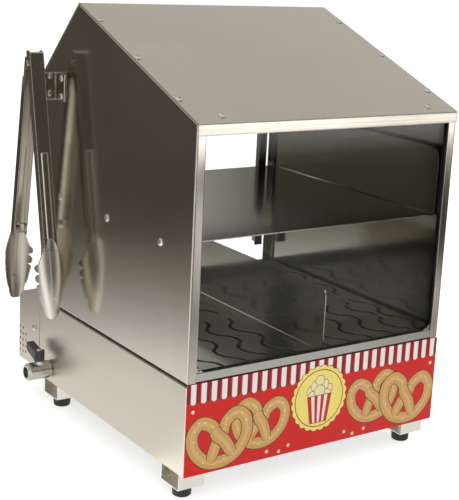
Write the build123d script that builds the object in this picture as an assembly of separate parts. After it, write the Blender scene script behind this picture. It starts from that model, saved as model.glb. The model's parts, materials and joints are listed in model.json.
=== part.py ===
"""Counter-top hot dog steamer: a steam base with a glass-fronted cabinet on top.

Millimetres.  +Z is up, +Y points to the back, +X to the right of someone facing the
glass.  The origin is the centre of the cabinet's footprint on the counter.
"""
from build123d import *
from math import cos, degrees, hypot, pi, radians, sin, tan
import os

os.makedirs("parts", exist_ok=True)

# ---------------------------------------------------------------- driving dimensions
# Casing
cabinet_width = 335.0      # outside, left to right
cabinet_depth = 336.0      # outside, front to back
base_height = 98.5         # underside of the base to the plane the cabinet stands on
eave_rise = 260.0          # base top to the front edge of the roof
ridge_setback = 248.0      # front plane to the ridge
ridge_rise = 93.5          # ridge above the front edge of the roof
rear_wall_rise = 267.5     # base top to the rear edge of the roof
sheet = 1.0                # stainless casing sheet
flange = 10.5              # width of the side panels' turned-in edges
edge_radius = 2.0          # outside radius of a pressed edge
bend_radius = 2.0          # outside radius of a folded bend
seat_gap = 0.2             # gap between sheets that slide into one another

# Stand
pad_height = 13.0
pad_radius = 10.5
bracket_height = 20.0
bracket_length = 30.0      # left to right
bracket_depth = 36.0       # front to back
bracket_lip = 8.0
bracket_sheet = 1.2
bracket_inset_x = 2.5
bracket_inset_y = 11.0

# Rim between base and cabinet
rim_thickness = 1.4
rim_gasket_thickness = 1.6
rim_setback = 0.5          # rim and gasket stand back from the casing faces
housing_ledge = 15.0       # width of the base's turned-in top edge

# Water pan and drain
pan_inset = 16.0           # casing face to the pan's outer wall
pan_depth = 63.0
pan_corner = 10.0
pan_floor_radius = 4.0
drain_from_back = 30.5     # cabinet's rear face to the drain's centre line
drain_from_side = 39.5     # left face to the centre of the pan's outlet
drain_drop = 18.0          # pan underside to the drain's centre line
pipe_radius = 7.0
pipe_bore = 4.5
pipe_bend = 11.0
valve_length = 31.0
valve_radius = 10.5
valve_stem_out = 14.0      # left face to the stem
valve_bore = 4.0
valve_mouth_radius = 6.6
valve_mouth_depth = 9.0
ball_radius = 7.0
stem_radius = 2.5
lever_reach = 25.0
lever_width = 9.0
lever_height = 12.0
lever_screw_radius = 1.4
lever_screw_bite = 5.0     # how far its screw goes into the stem

# Heating and control
element_radius = 4.0
element_pitch = 60.0       # between the legs of the heating element
element_run = 104.0        # half the length of its straight legs
element_lift = 14.0        # pan floor to the element's centre line
element_end = 20.0         # cabinet's rear face to the element's terminals
element_collar = 8.0
element_seal = 6.0
bulb_rise = 15.0           # element to the thermostat's bulb
bulb_radius = 3.0
bulb_length = 64.0
bulb_start = 14.0          # bulb to the capillary's bend
bulb_from_wall = 14.0
capillary_radius = 1.2
capillary_bend = 9.0
nut_across = 17.0          # pan nuts, across the flats
gland_nut_across = 10.0
nut_thickness = 5.0
box_depth = 58.5           # control box, cabinet's rear face to its own
box_bottom_gap = 4.5       # its bottom above the base's
box_back_height = 83.6     # height of its rear face
box_top_rise = 18.6        # slope of its top from the rear face to the front
box_land = 5.0             # level strip of its top against the cabinet
vent_radius = 1.5
vent_pitch = 7.6
knob_radius = 19.0
knob_height = 18.0
knob_x = -45.0
control_z = 87.0
switch_x = 62.0
switch_width = 30.0
switch_height = 22.0
rocker_tilt = 8.0          # each way about the middle, degrees
rocker_pivot = 1.2
lamp_x = 12.0
lamp_radius = 6.0
gland_x = 130.0
gland_z = 58.0
thermostat_depth = 34.0
thermostat_half_width = 17.0
terminal_x = 30.0
terminal_rise = 22.0       # box's underside to the terminal block
terminal_pitch = 14.0
terminal_depth = 16.0
terminal_height = 18.0
terminal_hole = 3.2
cord_bore = 3.8

# Front
fascia_height = 12.5
sill_height = 9.5
glass_thickness = 4.0
glass_gap = 0.1            # glass to the rubber round it
gasket_wall = 0.8
gasket_cover = 9.0         # how far the rubber covers the glass
graphic_thickness = 0.8
gusset_width = 33.0
gusset_height = 21.0
header_leg = 20.0

# Back
track_wall = 1.2
track_groove = 5.0
lower_track_height = 9.0
upper_track_height = 15.0
rear_header_height = 29.0
rear_header_run = 11.0
rear_sill_run = 15.5
door_overlap = 19.8
door_end_gap = 2.5         # door edge to side wall, shut
handle_length = 179.0
handle_depth = 23.5
handle_foot = 12.5
handle_inset = 10.3        # door's outer edge to the handle
handle_sheet = 1.2
handle_lift = 30.0         # door's bottom edge to the handle's

# Inside
shelf_height = 142.5       # base top to the bun tray's floor
shelf_side_height = 76.0
shelf_wall_gap = 10.0      # bun tray's flange to the cabinet's inside wall
shelf_front = 11.0         # front plane to the bun tray
shelf_back = 16.5          # rear plane to the bun tray
shelf_corner = 13.0
rail_height = 22.0
rail_width = 20.0
rail_corner = 10.0
steam_tray_gap = 6.5       # steam tray's side to the cabinet's inside wall
steam_tray_front = 11.5
steam_tray_back = 16.0
steam_tray_side = 11.5
steam_tray_lip = 6.0
slot_width = 4.5
slot_pitch = 31.0
slot_first = 23.0          # tray's middle line to the first row of slots
slot_rows = 5              # rows of slots each side of the middle
wave_length = 63.0
wave_reach = 8.0           # centre line of a row to the crest of its wave
slot_waves = 2
slot_front = 29.5          # front plane to the first crest
slot_break = 149.0         # from one group of slots to the next
divider_height = 71.0
divider_length = 300.0
divider_front = 15.0
divider_foot = 11.0
divider_x = 12.5
divider_corner = 9.0

# Tongs and their hook
hook_sheet = 1.5
hook_height = 31.0
hook_plate = 24.0
hook_top_rise = 272.5      # base top to the hook's top edge
hook_from_back = 36.15     # cabinet's rear face to the hook's arm
hook_arm = 31.5
hook_arm_height = 8.0
hook_root = 12.5
tongue_width = 8.0
tongs_out = 27.5           # left face to the tongs' middle plane
tongs_width = 16.5
tongs_sheet = 1.0
tongs_offset = 9.2         # pivot to the outer face of an arm
tongs_wall = 9.0
tongs_top = 14.0
tongs_arm = 204.0          # pivot to the neck, where the head starts
head_length = 83.0         # neck to the tip
tongs_front_lean = 11.6    # degrees from the vertical at rest
tongs_rear_lean = 8.9
tongs_front_lug = 6.0
tongs_rear_lug = 5.5
tongs_neck_drop = 17.0     # pivot to the rear arm's shoulders
tongs_neck_depth = 3.5
head_half_width = 17.4
head_back = 11.0           # pivot plane to the middle of the head's back
barrel_radius = 18.0       # of the head's round back
head_rim = 1.5             # the scalloped rim stands past the pivot plane
head_flare = 24.0          # neck to the first scallop
head_tip_radius = 9.5
scallop_radius = 6.2
scallop_pitch = 11.5
scallops = 4
rib_start = 100.0          # pivot to the top of the pressed rib
rib_on_head = 58.0         # neck to the rib's lower end
rib_half_width = 4.0
rib_height = 1.1
pin_radius = 2.0
pin_running_gap = 0.05
coil_radius = 5.0
coil_length = 8.0
rest_gap = 0.3             # between a hung or laid piece and what carries it

# Fasteners
screw_radius = 2.0
screw_hole_gap = 0.2
head_radius = 3.6
head_height = 2.0
shelf_screw_drop = 11.0    # bun tray's floor to the row of screws
shelf_screw_first = 60.0   # front plane to the first screw
shelf_screw_pitch = 112.5
roof_screw_edge = 5.5      # side of the roof to the row of screws
roof_screw_first = 43.5
roof_screw_pitch = 82.3
roof_screw_front = 11.0
roof_screw_in = 34.0

# ---------------------------------------------------------------- derived places
half_width = cabinet_width / 2
half_depth = cabinet_depth / 2
front = -half_depth
back = half_depth
left = -half_width
right = half_width
base_bottom = pad_height + bracket_height
deck = base_bottom + base_height               # plane the cabinet stands on
eave = deck + eave_rise
ridge_y = front + ridge_setback
ridge = eave + ridge_rise
rear_eave = deck + rear_wall_rise
housing_top = deck - rim_gasket_thickness - rim_thickness
cabinet_floor = deck + sheet
wall_x = half_width - sheet                    # inside face of the side panels
inner_x = half_width - flange                  # inner edge of their flanges
pan_floor = deck - pan_depth - rim_gasket_thickness
drain_y = back - drain_from_back
drain_x = left + drain_from_side
drain_z = pan_floor - drain_drop
stem_x = left - valve_stem_out
shelf_z = deck + shelf_height
shelf_x = wall_x - shelf_wall_gap              # outer face of the bun tray's sides
tray_floor = cabinet_floor + sheet             # top of the steam tray's floor
tray_x = wall_x - steam_tray_gap
tongs_x = left - tongs_out
hook_y = back - hook_from_back
hook_top = deck + hook_top_rise
tongs_z = hook_top + rest_gap + coil_radius + 4.7
tongs_head = tongs_arm + head_length           # pivot to the tip
rib_end = tongs_arm + rib_on_head
screw_hole = screw_radius + screw_hole_gap
box_back = back + box_depth
box_bottom = base_bottom + box_bottom_gap


# ---------------------------------------------------------------- helpers
def block(x, y, z):
    """Box between three (low, high) pairs."""
    size = Box(x[1] - x[0], y[1] - y[0], z[1] - z[0])
    return Pos((x[0] + x[1]) / 2, (y[0] + y[1]) / 2, (z[0] + z[1]) / 2) * size


def rod(start, direction, radius, length):
    """Cylinder that starts at a point and runs along a direction."""
    low = (Align.CENTER, Align.CENTER, Align.MIN)
    return Plane(origin=start, z_dir=direction) * Cylinder(radius, length, align=low)


def hex_nut(start, direction, across_flats, length, bore):
    """Hexagonal nut that starts at a point and runs along a direction."""
    outline = RegularPolygon(across_flats / 2, 6, major_radius=False) - Circle(bore)
    return extrude(Plane(origin=start, z_dir=direction) * outline, length)


def domed(start, direction, radius, height, crown):
    """Cylinder with a domed end: the crown is the part of its height that curves."""
    sphere_radius = (radius ** 2 + crown ** 2) / (2 * crown)
    low = (Align.CENTER, Align.CENTER, Align.MIN)
    button = Cylinder(radius, height, align=low) & Pos(0, 0, height - sphere_radius) * Sphere(
        sphere_radius)
    return Plane(origin=start, z_dir=direction) * button


def pan_screw(start, outward, grip, radius=screw_radius, head=head_radius):
    """Pan-head screw whose head stands on a point, its shank running inwards."""
    shank = Plane(origin=start, z_dir=outward) * Pos(0, 0, -grip / 2) * Cylinder(radius, grip)
    return shank + domed(start, outward, head, head_height, head_height * 0.55)


def folded(points, thickness, side, radius=bend_radius):
    """Cross-section of a folded sheet: a path, rounded at its bends, given a thickness."""
    path = FilletPolyline(*points, radius=radius)
    return make_face(offset(path, amount=thickness, side=side))


def joined(shapes):
    """Separate solids of one node as a compound."""
    return Compound(children=[solid for shape in shapes for solid in shape.solids()])


def save(shape, node):
    """Write one node's solids."""
    export_step(shape, "parts/" + node + ".step")


# ---------------------------------------------------------------- roof line
def roof_line(drop, overhang=0.0):
    """Front edge, ridge and rear edge of the roof's surface moved inwards by drop."""
    front_slope = ridge_rise / ridge_setback
    rear_slope = (ridge - rear_eave) / (cabinet_depth - ridge_setback)
    front_fall = drop * hypot(1, front_slope)
    rear_fall = drop * hypot(1, rear_slope)
    shift = (rear_fall - front_fall) / (front_slope + rear_slope)
    first = (front - overhang, eave - front_fall - front_slope * overhang)
    last = (back + overhang, rear_eave - rear_fall - rear_slope * overhang)
    middle = (ridge_y - shift, ridge - front_fall - front_slope * shift)
    return first, middle, last


def roof_screw_places():
    """Points and outward directions of the roof screws on its front slope."""
    slope = ridge_rise / ridge_setback
    normal = Vector(0, -slope, 1).normalized()
    spots = []
    for x in (left + roof_screw_edge, right - roof_screw_edge):
        for step in range(3):
            spots.append((x, roof_screw_first + step * roof_screw_pitch))
    for x in (left + roof_screw_in, right - roof_screw_in):
        spots.append((x, roof_screw_front))
    return [(Vector(x, front + run, eave + slope * run), normal) for x, run in spots]


def shelf_screw_places():
    """(y, z) places of the three screws that hold a bun tray rail."""
    height = shelf_z - shelf_screw_drop
    steps = range(3)
    return [(front + shelf_screw_first + step * shelf_screw_pitch, height) for step in steps]


def deck_screw_places():
    """(x, y) places of the screws that join cabinet and base."""
    inset = flange / 2
    return [(sx * (half_width - inset), sy * (half_depth - inset * 2)) for sx in (-1, 1)
            for sy in (-1, 1)]


# ---------------------------------------------------------------- stand
def bracket_places():
    """Centres of the four foot brackets, with their names."""
    x = half_width - bracket_inset_x - bracket_length / 2
    y = half_depth - bracket_inset_y - bracket_depth / 2
    return {
        "front_left": (-x, -y),
        "front_right": (x, -y),
        "rear_left": (-x, y),
        "rear_right": (x, y),
    }


def foot_bracket(x, y):
    """Lipped channel, open at its left and right ends, under the base."""
    half = bracket_depth / 2
    top = base_bottom
    low = pad_height
    inner = half - bracket_lip
    path = [(-inner, top), (-half, top), (-half, low), (half, low), (half, top), (inner, top)]
    section = folded([(y + py, pz) for py, pz in path], bracket_sheet, Side.LEFT)
    channel = extrude(Plane.YZ * section, bracket_length / 2, both=True)
    hole = rod((0, y, low - 1), (0, 0, 1), screw_hole, bracket_sheet + 2)
    return Pos(x, 0, 0) * (channel - hole)


def rubber_foot(x, y):
    """Round rubber pad with a recess for its screw."""
    taper = 0.6
    recess_radius = 5.6
    recess = 5.0
    low = pad_radius - taper
    profile = Polyline((screw_hole, recess), (recess_radius, recess), (recess_radius, 0),
                       (low - 1.2, 0), (low, 1.2), (pad_radius, pad_height),
                       (screw_hole, pad_height), close=True)
    return Pos(x, y, 0) * revolve(Plane.XZ * make_face(profile), Axis.Z)


def foot_screw(x, y):
    """Screw through a rubber foot and its bracket, with a nut inside the bracket."""
    recess = 5.0
    nut_z = pad_height + bracket_sheet
    shank = rod((x, y, recess), (0, 0, 1), screw_radius, nut_z - recess + 4.4)
    head = rod((x, y, recess - 2.6), (0, 0, 1), 4.4, 2.6)
    nut = hex_nut((x, y, nut_z), (0, 0, 1), 7.0, 3.2, screw_radius)
    return head + shank + nut


# ---------------------------------------------------------------- base
def base_housing():
    """Four-sided base casing with a turned-in top ledge and ears for the control box."""
    outer = block((left, right), (front, back), (base_bottom, housing_top))
    upright = outer.edges().filter_by(Axis.Z)
    outer = fillet(upright, edge_radius)
    inner = block((left + sheet, right - sheet), (front + sheet, back - sheet),
                  (base_bottom - 1, housing_top - sheet))
    mouth = block((left + housing_ledge, right - housing_ledge),
                  (front + housing_ledge, back - housing_ledge),
                  (housing_top - sheet - 1, housing_top + 1))
    shell = outer - inner - mouth
    shell += [control_box_ear(side) for side in (-1, 1)]
    for x in (-1.5 * element_pitch, 1.5 * element_pitch):
        shell -= rod((x, back - 2, element_z()), (0, 1, 0), 10.0, 4)
    shell -= rod((knob_x, back - 2, bulb_z()), (0, 1, 0), 4.0, 4)
    shell -= rod((left - 2, drain_y, drain_z), (1, 0, 0), pipe_radius + 0.4, 4)
    for x, y in deck_screw_places():
        shell -= rod((x, y, housing_top - 3), (0, 0, 1), screw_hole, 5)
    return shell


def control_box_ear(side):
    """Upright tab on the base's rear wall that takes a control box screw."""
    length = 24.0
    height = 50.0
    x = side * (half_width - sheet - seat_gap)
    y, z = box_screw_place()
    plate = block(sorted((x, x - side * sheet)), (back - sheet, back + length),
                  (z - height / 2, z + height / 2))
    return plate - rod((x - side * 3, y, z), (side, 0, 0), screw_hole, 6)


def box_screw_place():
    """(y, z) of the screw in each side of the control box."""
    return back + 14.0, base_bottom + 54.0


def base_plate():
    """Bottom of the base: a sheet with its edges turned up, and cooling slots."""
    gap = seat_gap
    x = half_width - sheet - gap
    y = half_depth - sheet - gap
    height = 13.0
    plate = block((-x, x), (-y, y), (base_bottom, base_bottom + height))
    plate -= block((-x + sheet, x - sheet), (-y + sheet, y - sheet),
                   (base_bottom + sheet, base_bottom + height + 1))
    slot = SlotOverall(46, 5)
    slots = [Pos(column * 70, row * 16) * slot for column in (-1, 0, 1) for row in (-1, 0, 1)]
    cutter = extrude(Plane.XY.offset(base_bottom - 1) * Sketch(children=slots), 4)
    notch = block((left, left + 6), (drain_y - 13, drain_y + 13),
                  (base_bottom + 3, base_bottom + height + 1))
    return plate - cutter - notch


def front_graphic():
    """Printed panel that covers the front of the base."""
    side = 0.3
    return block((left + side, right - side), (front - graphic_thickness, front),
                 (base_bottom, deck - side))


def rim_outline(setback):
    """Outline of the rim between base and cabinet."""
    return RectangleRounded(cabinet_width - 2 * setback, cabinet_depth - 2 * setback, edge_radius)


def water_pan():
    """Drawn pan that holds the water, hung by its flat rim."""
    low = pan_floor
    top = housing_top
    wall = sheet
    width = cabinet_width - 2 * pan_inset
    depth = cabinet_depth - 2 * pan_inset
    body = extrude(Plane.XY.offset(low) * RectangleRounded(width, depth, pan_corner), top - low)
    body = fillet(body.faces().sort_by(Axis.Z)[0].edges(), pan_floor_radius)
    rim = extrude(Plane.XY.offset(top) * rim_outline(rim_setback), rim_thickness)
    hollow_outline = RectangleRounded(width - 2 * wall, depth - 2 * wall, pan_corner - wall)
    hollow = extrude(Plane.XY.offset(low + wall) * hollow_outline, top - low + rim_thickness)
    hollow = fillet(hollow.faces().sort_by(Axis.Z)[0].edges(), pan_floor_radius - wall)
    pan = body + rim - hollow
    pan -= rod((drain_x, drain_y, low - 1), (0, 0, 1), pipe_radius + 0.1, 4)
    for x in (-1.5 * element_pitch, 1.5 * element_pitch):
        pan -= rod((x, back - pan_inset - 4, element_z()), (0, 1, 0), 6.2, 6)
    pan -= rod((knob_x, back - pan_inset - 4, bulb_z()), (0, 1, 0), 4.2, 6)
    for x, y in deck_screw_places():
        pan -= rod((x, y, top - 1), (0, 0, 1), screw_hole, 4)
    return pan


def rim_gasket():
    """Silicone gasket between the pan's rim and the cabinet."""
    width = cabinet_width - 2 * flange
    depth = cabinet_depth - 2 * flange
    ring = rim_outline(rim_setback * 3) - RectangleRounded(width, depth, edge_radius)
    gasket = extrude(Plane.XY.offset(deck - rim_gasket_thickness) * ring, rim_gasket_thickness)
    for x, y in deck_screw_places():
        gasket -= rod((x, y, deck - 3), (0, 0, 1), screw_hole, 4)
    return gasket


def deck_screws():
    """Screws from inside the base, through ledge, rim and gasket into the cabinet."""
    low = housing_top - sheet
    grip = cabinet_floor - low
    return joined([pan_screw((x, y, low), (0, 0, -1), grip) for x, y in deck_screw_places()])


# ---------------------------------------------------------------- drain
def drain_elbow():
    """Outlet pipe: a flange in the pan, a bend, and a run out through the left side."""
    end = left - 6.0
    top = pan_floor + sheet
    path = FilletPolyline((drain_x, drain_y, top), (drain_x, drain_y, drain_z),
                          (end, drain_y, drain_z), radius=pipe_bend)
    start = Plane(origin=path @ 0, z_dir=path % 0)
    pipe = sweep(start * (Circle(pipe_radius) - Circle(pipe_bore)), path)
    collar = rod((drain_x, drain_y, top), (0, 0, 1), pipe_radius + 2.0, 1.6)
    return pipe + (collar - rod((drain_x, drain_y, top - 1), (0, 0, 1), pipe_bore, 4))


def drain_nuts():
    """Nut that clamps the outlet under the pan and nut behind the left side."""
    under = hex_nut((drain_x, drain_y, pan_floor), (0, 0, -1), 20.0, 5.0, pipe_radius + 0.05)
    behind = hex_nut((left + sheet, drain_y, drain_z), (1, 0, 0), 20.0, 5.0, pipe_radius + 0.05)
    return joined([under, behind])


def valve_body():
    """Small ball valve: hexagonal barrel with turned ends and a boss for the stem."""
    start = (left, drain_y, drain_z)
    hexagon = RegularPolygon(valve_radius * 0.97, 6, major_radius=False)
    barrel = extrude(Plane(origin=start, z_dir=(-1, 0, 0)) * hexagon, valve_length)
    turned = Polyline((0, 0), (valve_radius - 1.5, 0), (valve_radius, 2.0),
                      (valve_radius, valve_length - 3.0), (valve_radius - 2.2, valve_length),
                      (0, valve_length), close=True)
    lathe = revolve(Plane.XZ * make_face(turned), Axis.Z)
    barrel = barrel & (Plane(origin=start, z_dir=(-1, 0, 0)) * lathe)
    boss_top = drain_z + valve_radius + 2.0
    body = barrel + rod((stem_x, drain_y, drain_z), (0, 0, 1), 6.0, boss_top - drain_z)
    mouth = left - valve_length
    body -= rod((left + 1, drain_y, drain_z), (-1, 0, 0), pipe_radius + 0.05, 7.0)
    body -= rod((left, drain_y, drain_z), (-1, 0, 0), valve_bore, valve_length)
    body -= rod((mouth - 1, drain_y, drain_z), (1, 0, 0), valve_mouth_radius,
                valve_mouth_depth + 1)
    body -= Pos(stem_x, drain_y, drain_z) * Sphere(ball_radius + pin_running_gap)
    body -= rod((stem_x, drain_y, drain_z), (0, 0, 1), stem_radius + pin_running_gap,
                valve_radius + 4)
    return body


def valve_ball():
    """Bored ball with its stem, turned across the flow: the valve is shut."""
    lever_seat = drain_z + valve_radius + 2.0 + rest_gap
    ball = Pos(stem_x, drain_y, drain_z) * Sphere(ball_radius)
    ball -= rod((stem_x, drain_y - ball_radius - 1, drain_z), (0, 1, 0), valve_bore,
                2 * ball_radius + 2)
    top = lever_seat + lever_height * 0.6
    stem = rod((stem_x, drain_y, top), (0, 0, -1), stem_radius, top - drain_z - ball_radius + 2.5)
    return ball + stem - rod((stem_x, drain_y, top + 1), (0, 0, -1), lever_screw_radius + 0.05,
                             lever_screw_bite + 1.5)


def valve_lever():
    """Moulded lever on the stem: a hub and a grip that rises towards its end."""
    seat = drain_z + valve_radius + 2.0 + rest_gap
    hub = rod((stem_x, drain_y, seat), (0, 0, 1), 6.2, lever_height)
    top = seat + lever_height
    reach = drain_y + lever_reach
    side = Polyline((drain_y - 4, seat), (drain_y + 6, seat), (reach, seat + 6),
                    (reach + 1.5, top + 4), (drain_y + 8, top), (drain_y - 4, top), close=True)
    grip = extrude(Plane.YZ.offset(stem_x) * make_face(side), lever_width / 2, both=True)
    grip = fillet(grip.edges().filter_by(Axis.X), 1.0)
    lever = hub + grip
    lever -= rod((stem_x, drain_y, seat - 1), (0, 0, 1), stem_radius, lever_height * 0.6 + 1)
    return lever - rod((stem_x, drain_y, seat), (0, 0, 1), lever_screw_radius + 0.1,
                       lever_height + 1)


def lever_screw():
    """Screw that holds the lever on its stem."""
    seat = drain_z + valve_radius + 2.0 + rest_gap
    grip = lever_height * 0.4 + lever_screw_bite
    return pan_screw((stem_x, drain_y, seat + lever_height), (0, 0, 1), grip,
                     lever_screw_radius, 3.4)


# ---------------------------------------------------------------- heating
def element_z():
    """Height of the heating element's centre line."""
    return pan_floor + sheet + element_lift


def bulb_z():
    """Height of the thermostat's bulb, above the element."""
    return element_z() + bulb_rise


def heating_element():
    """Tubular heater: four legs joined by three bends, its ends through the pan's back."""
    z = element_z()
    outer = 1.5 * element_pitch
    inner = 0.5 * element_pitch
    end = back + element_end
    near = -element_run
    far = element_run
    points = [(-outer, end, z), (-outer, near, z), (-inner, near, z), (-inner, far, z),
              (inner, far, z), (inner, near, z), (outer, near, z), (outer, end, z)]
    path = FilletPolyline(*points, radius=element_pitch / 2 - 2)
    tube = sweep(Plane(origin=path @ 0, z_dir=path % 0) * Circle(element_radius), path)
    wall = back - pan_inset
    for x in (-outer, outer):
        tube += rod((x, wall - sheet, z), (0, -1, 0), element_collar, 3.0)
        tube += rod((x, wall - sheet - 1, z), (0, 1, 0), element_seal, 10.0)
    return tube


def pan_glands():
    """Nuts behind the pan on the heater's two ends, and the bulb's gland."""
    wall = back - pan_inset
    nuts = [hex_nut((x, wall, element_z()), (0, 1, 0), nut_across, nut_thickness,
                    element_seal + 0.05)
            for x in (-1.5 * element_pitch, 1.5 * element_pitch)]
    bore = capillary_radius + 0.1
    gland = hex_nut((knob_x, wall, bulb_z()), (0, 1, 0), gland_nut_across, nut_thickness, bore)
    gland += rod((knob_x, wall - sheet, bulb_z()), (0, 1, 0), 4.1, 2.0) - \
        rod((knob_x, wall - 4, bulb_z()), (0, 1, 0), bore, 8.0)
    return joined(nuts + [gland])


def thermostat_bulb():
    """Liquid-filled bulb in the pan, with its capillary to the thermostat."""
    y = back - pan_inset - bulb_from_wall
    z = bulb_z()
    bulb = rod((knob_x - bulb_start, y, z), (-1, 0, 0), bulb_radius, bulb_length)
    path = FilletPolyline((knob_x - bulb_start - 1, y, z), (knob_x, y, z),
                          (knob_x, thermostat_front(), z), radius=capillary_bend)
    capillary = sweep(Plane(origin=path @ 0, z_dir=path % 0) * Circle(capillary_radius), path)
    return bulb + capillary


# ---------------------------------------------------------------- control box
def thermostat_front():
    """Front face of the thermostat inside the control box."""
    return box_back - sheet - thermostat_depth


def box_outline(inset):
    """Side outline of the control box as (y, z) points, moved inwards by inset."""
    top = box_bottom + box_back_height
    crown = top + box_top_rise
    run = box_depth - box_land
    slant = hypot(run, box_top_rise)
    fall = inset * slant / run
    lost = box_top_rise / run * inset
    return [(back, box_bottom + inset), (box_back - inset, box_bottom + inset),
            (box_back - inset, top - fall + lost), (back + box_land, crown - fall),
            (back, crown - fall)]


def control_box():
    """Folded cover behind the base, with vent holes in its sides and a flat rear panel."""
    outer = extrude(Plane.YZ * Polygon(*box_outline(0), align=None), half_width, both=True)
    edges = outer.edges().filter_by(Axis.Z).sort_by(Axis.Y)[-2:]
    outer = fillet(edges, edge_radius)
    inner_points = box_outline(sheet)
    inner_points[0] = (back - 1, inner_points[0][1])
    inner_points[-1] = (back - 1, inner_points[-1][1])
    inner_outline = Polygon(*inner_points, align=None)
    cover = outer - extrude(Plane.YZ * inner_outline, half_width - sheet, both=True)
    vents = [(box_back - 4.5, box_bottom + 10.0 + row * vent_pitch) for row in range(5)]
    vents += [(box_back - 12.8, box_bottom + 10.0 + row * vent_pitch) for row in range(5)]
    vents += [(box_back - 20.5, box_bottom + 10.8 + row * vent_pitch) for row in range(4)]
    for y, z in vents:
        cover -= rod((left - 1, y, z), (1, 0, 0), vent_radius, cabinet_width + 2)
    y, z = box_screw_place()
    cover -= rod((left - 1, y, z), (1, 0, 0), screw_hole, cabinet_width + 2)
    panel = box_back - 3
    cover -= rod((knob_x, panel, control_z), (0, 1, 0), 5.0, 6)
    cover -= rod((lamp_x, panel, control_z), (0, 1, 0), lamp_radius - 0.8, 6)
    cover -= rod((gland_x, panel, gland_z), (0, 1, 0), 8.0, 6)
    cover -= block((switch_x - switch_width / 2 + 1.5, switch_x + switch_width / 2 - 1.5),
                   (panel, box_back + 3),
                   (control_z - switch_height / 2 + 1.5, control_z + switch_height / 2 - 1.5))
    return cover


def box_screws():
    """Screw in each side of the control box."""
    y, z = box_screw_place()
    return joined([pan_screw((side * half_width, y, z), (side, 0, 0), 5.0) for side in (-1, 1)])


def thermostat():
    """Thermostat body behind the rear panel, with a bush for the knob's shaft."""
    face = box_back - sheet
    half = thermostat_half_width
    body = block((knob_x - half, knob_x + half), (thermostat_front(), face),
                 (control_z - half, control_z + half))
    body = fillet(body.edges().filter_by(Axis.Y), 3.0)
    body += rod((knob_x, face, control_z), (0, 1, 0), 4.9, sheet + 0.8)
    return body - rod((knob_x, face - 12, control_z), (0, 1, 0), 3.0 + pin_running_gap, 20)


def thermostat_knob():
    """Skirted knob with a raised grip bar, and the shaft it turns."""
    face = box_back + 1.2
    profile = Polyline((0, 0), (knob_radius, 0), (knob_radius, 2.2), (knob_radius - 3.5, 4.0),
                       (knob_radius - 5.0, knob_height * 0.55), (0, knob_height * 0.55),
                       close=True)
    turned = revolve(Plane.XZ * make_face(profile), Axis.Z)
    knob = Plane(origin=(knob_x, face, control_z), x_dir=(1, 0, 0), z_dir=(0, 1, 0)) * turned
    bar = block((knob_x - 4.0, knob_x + 4.0), (face + 1, face + knob_height),
                (control_z - knob_radius + 4.5, control_z + knob_radius - 4.5))
    bar = fillet(bar.faces().sort_by(Axis.Y)[-1].edges(), 2.0)
    shaft = rod((knob_x, box_back - sheet - 11.5, control_z), (0, 1, 0), 3.0, 14.0)
    return knob + bar + shaft


def switch_body():
    """Rocker switch: bezel and body with a well for the rocker."""
    bezel = block((switch_x - switch_width / 2, switch_x + switch_width / 2),
                  (box_back, box_back + 2),
                  (control_z - switch_height / 2, control_z + switch_height / 2))
    bezel = fillet(bezel.edges().filter_by(Axis.Y), 2.0)
    body = block((switch_x - switch_width / 2 + 1.6, switch_x + switch_width / 2 - 1.6),
                 (box_back - 24, box_back + 1),
                 (control_z - switch_height / 2 + 1.6, control_z + switch_height / 2 - 1.6))
    well = block((switch_x - switch_width / 2 + 3, switch_x + switch_width / 2 - 3),
                 (box_back - 8, box_back + 3),
                 (control_z - switch_height / 2 + 3, control_z + switch_height / 2 - 3))
    pivots = rod((switch_x, box_back, control_z - switch_height / 2 + 2.2), (0, 0, 1),
                 rocker_pivot + pin_running_gap, switch_height - 4.4)
    return bezel + body - well - pivots


def switch_rocker():
    """Rocker tilted to OFF, hinged level with the panel."""
    half = switch_width / 2 - 4.0
    depth = switch_height / 2 - 3.4
    rise = 3.4
    side = Polyline((-half, 0.4), (-half, rise), (0, 1.4), (half, rise), (half, 0.4),
                    (0, -3.0), close=True)
    face = Plane(origin=(switch_x, box_back, control_z), x_dir=(1, 0, 0), z_dir=(0, 0, 1))
    bar = extrude(face * make_face(side), depth, both=True)
    reach = switch_height / 2 - 2.4
    bar += rod((switch_x, box_back, control_z - reach), (0, 0, 1), rocker_pivot, 2 * reach)
    pivot = Axis((switch_x, box_back, control_z), (0, 0, 1))
    return bar.rotate(pivot, rocker_tilt)


def pilot_lamp():
    """Pilot lamp: a domed lens with its body behind the panel."""
    start = (lamp_x, box_back, control_z)
    lens = domed(start, (0, 1, 0), lamp_radius, 5.0, 3.5)
    return lens + rod(start, (0, -1, 0), lamp_radius - 1.0, 20.0)


def cord_gland():
    """Strain relief for the supply cord: flange, grip and nut round a clear bore."""
    start = (gland_x, box_back, gland_z)
    profile = Polyline((cord_bore, -11.0), (7.8, -11.0), (7.8, 0), (11.0, 0), (11.0, 2.5),
                       (8.0, 4.0), (7.0, 14.0), (cord_bore, 14.0), close=True)
    turned = revolve(Plane.XZ * make_face(profile), Axis.Z)
    gland = Plane(origin=start, x_dir=(1, 0, 0), z_dir=(0, 1, 0)) * turned
    nut = hex_nut((gland_x, box_back - sheet, gland_z), (0, -1, 0), 22.0, 5.0, 7.7)
    return gland + nut


def terminal_block():
    """Terminal block on the base's rear wall, inside the control box."""
    x, z = terminal_x, box_bottom + terminal_rise
    half = 2 * terminal_pitch + 2
    body = block((x - half, x + half), (back, back + terminal_depth),
                 (z - terminal_height / 2, z + terminal_height / 2))
    for step in range(4):
        body -= rod((x + (step - 1.5) * terminal_pitch, back + terminal_depth - 6, z),
                    (0, 1, 0), terminal_hole, 10)
    return body


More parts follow.
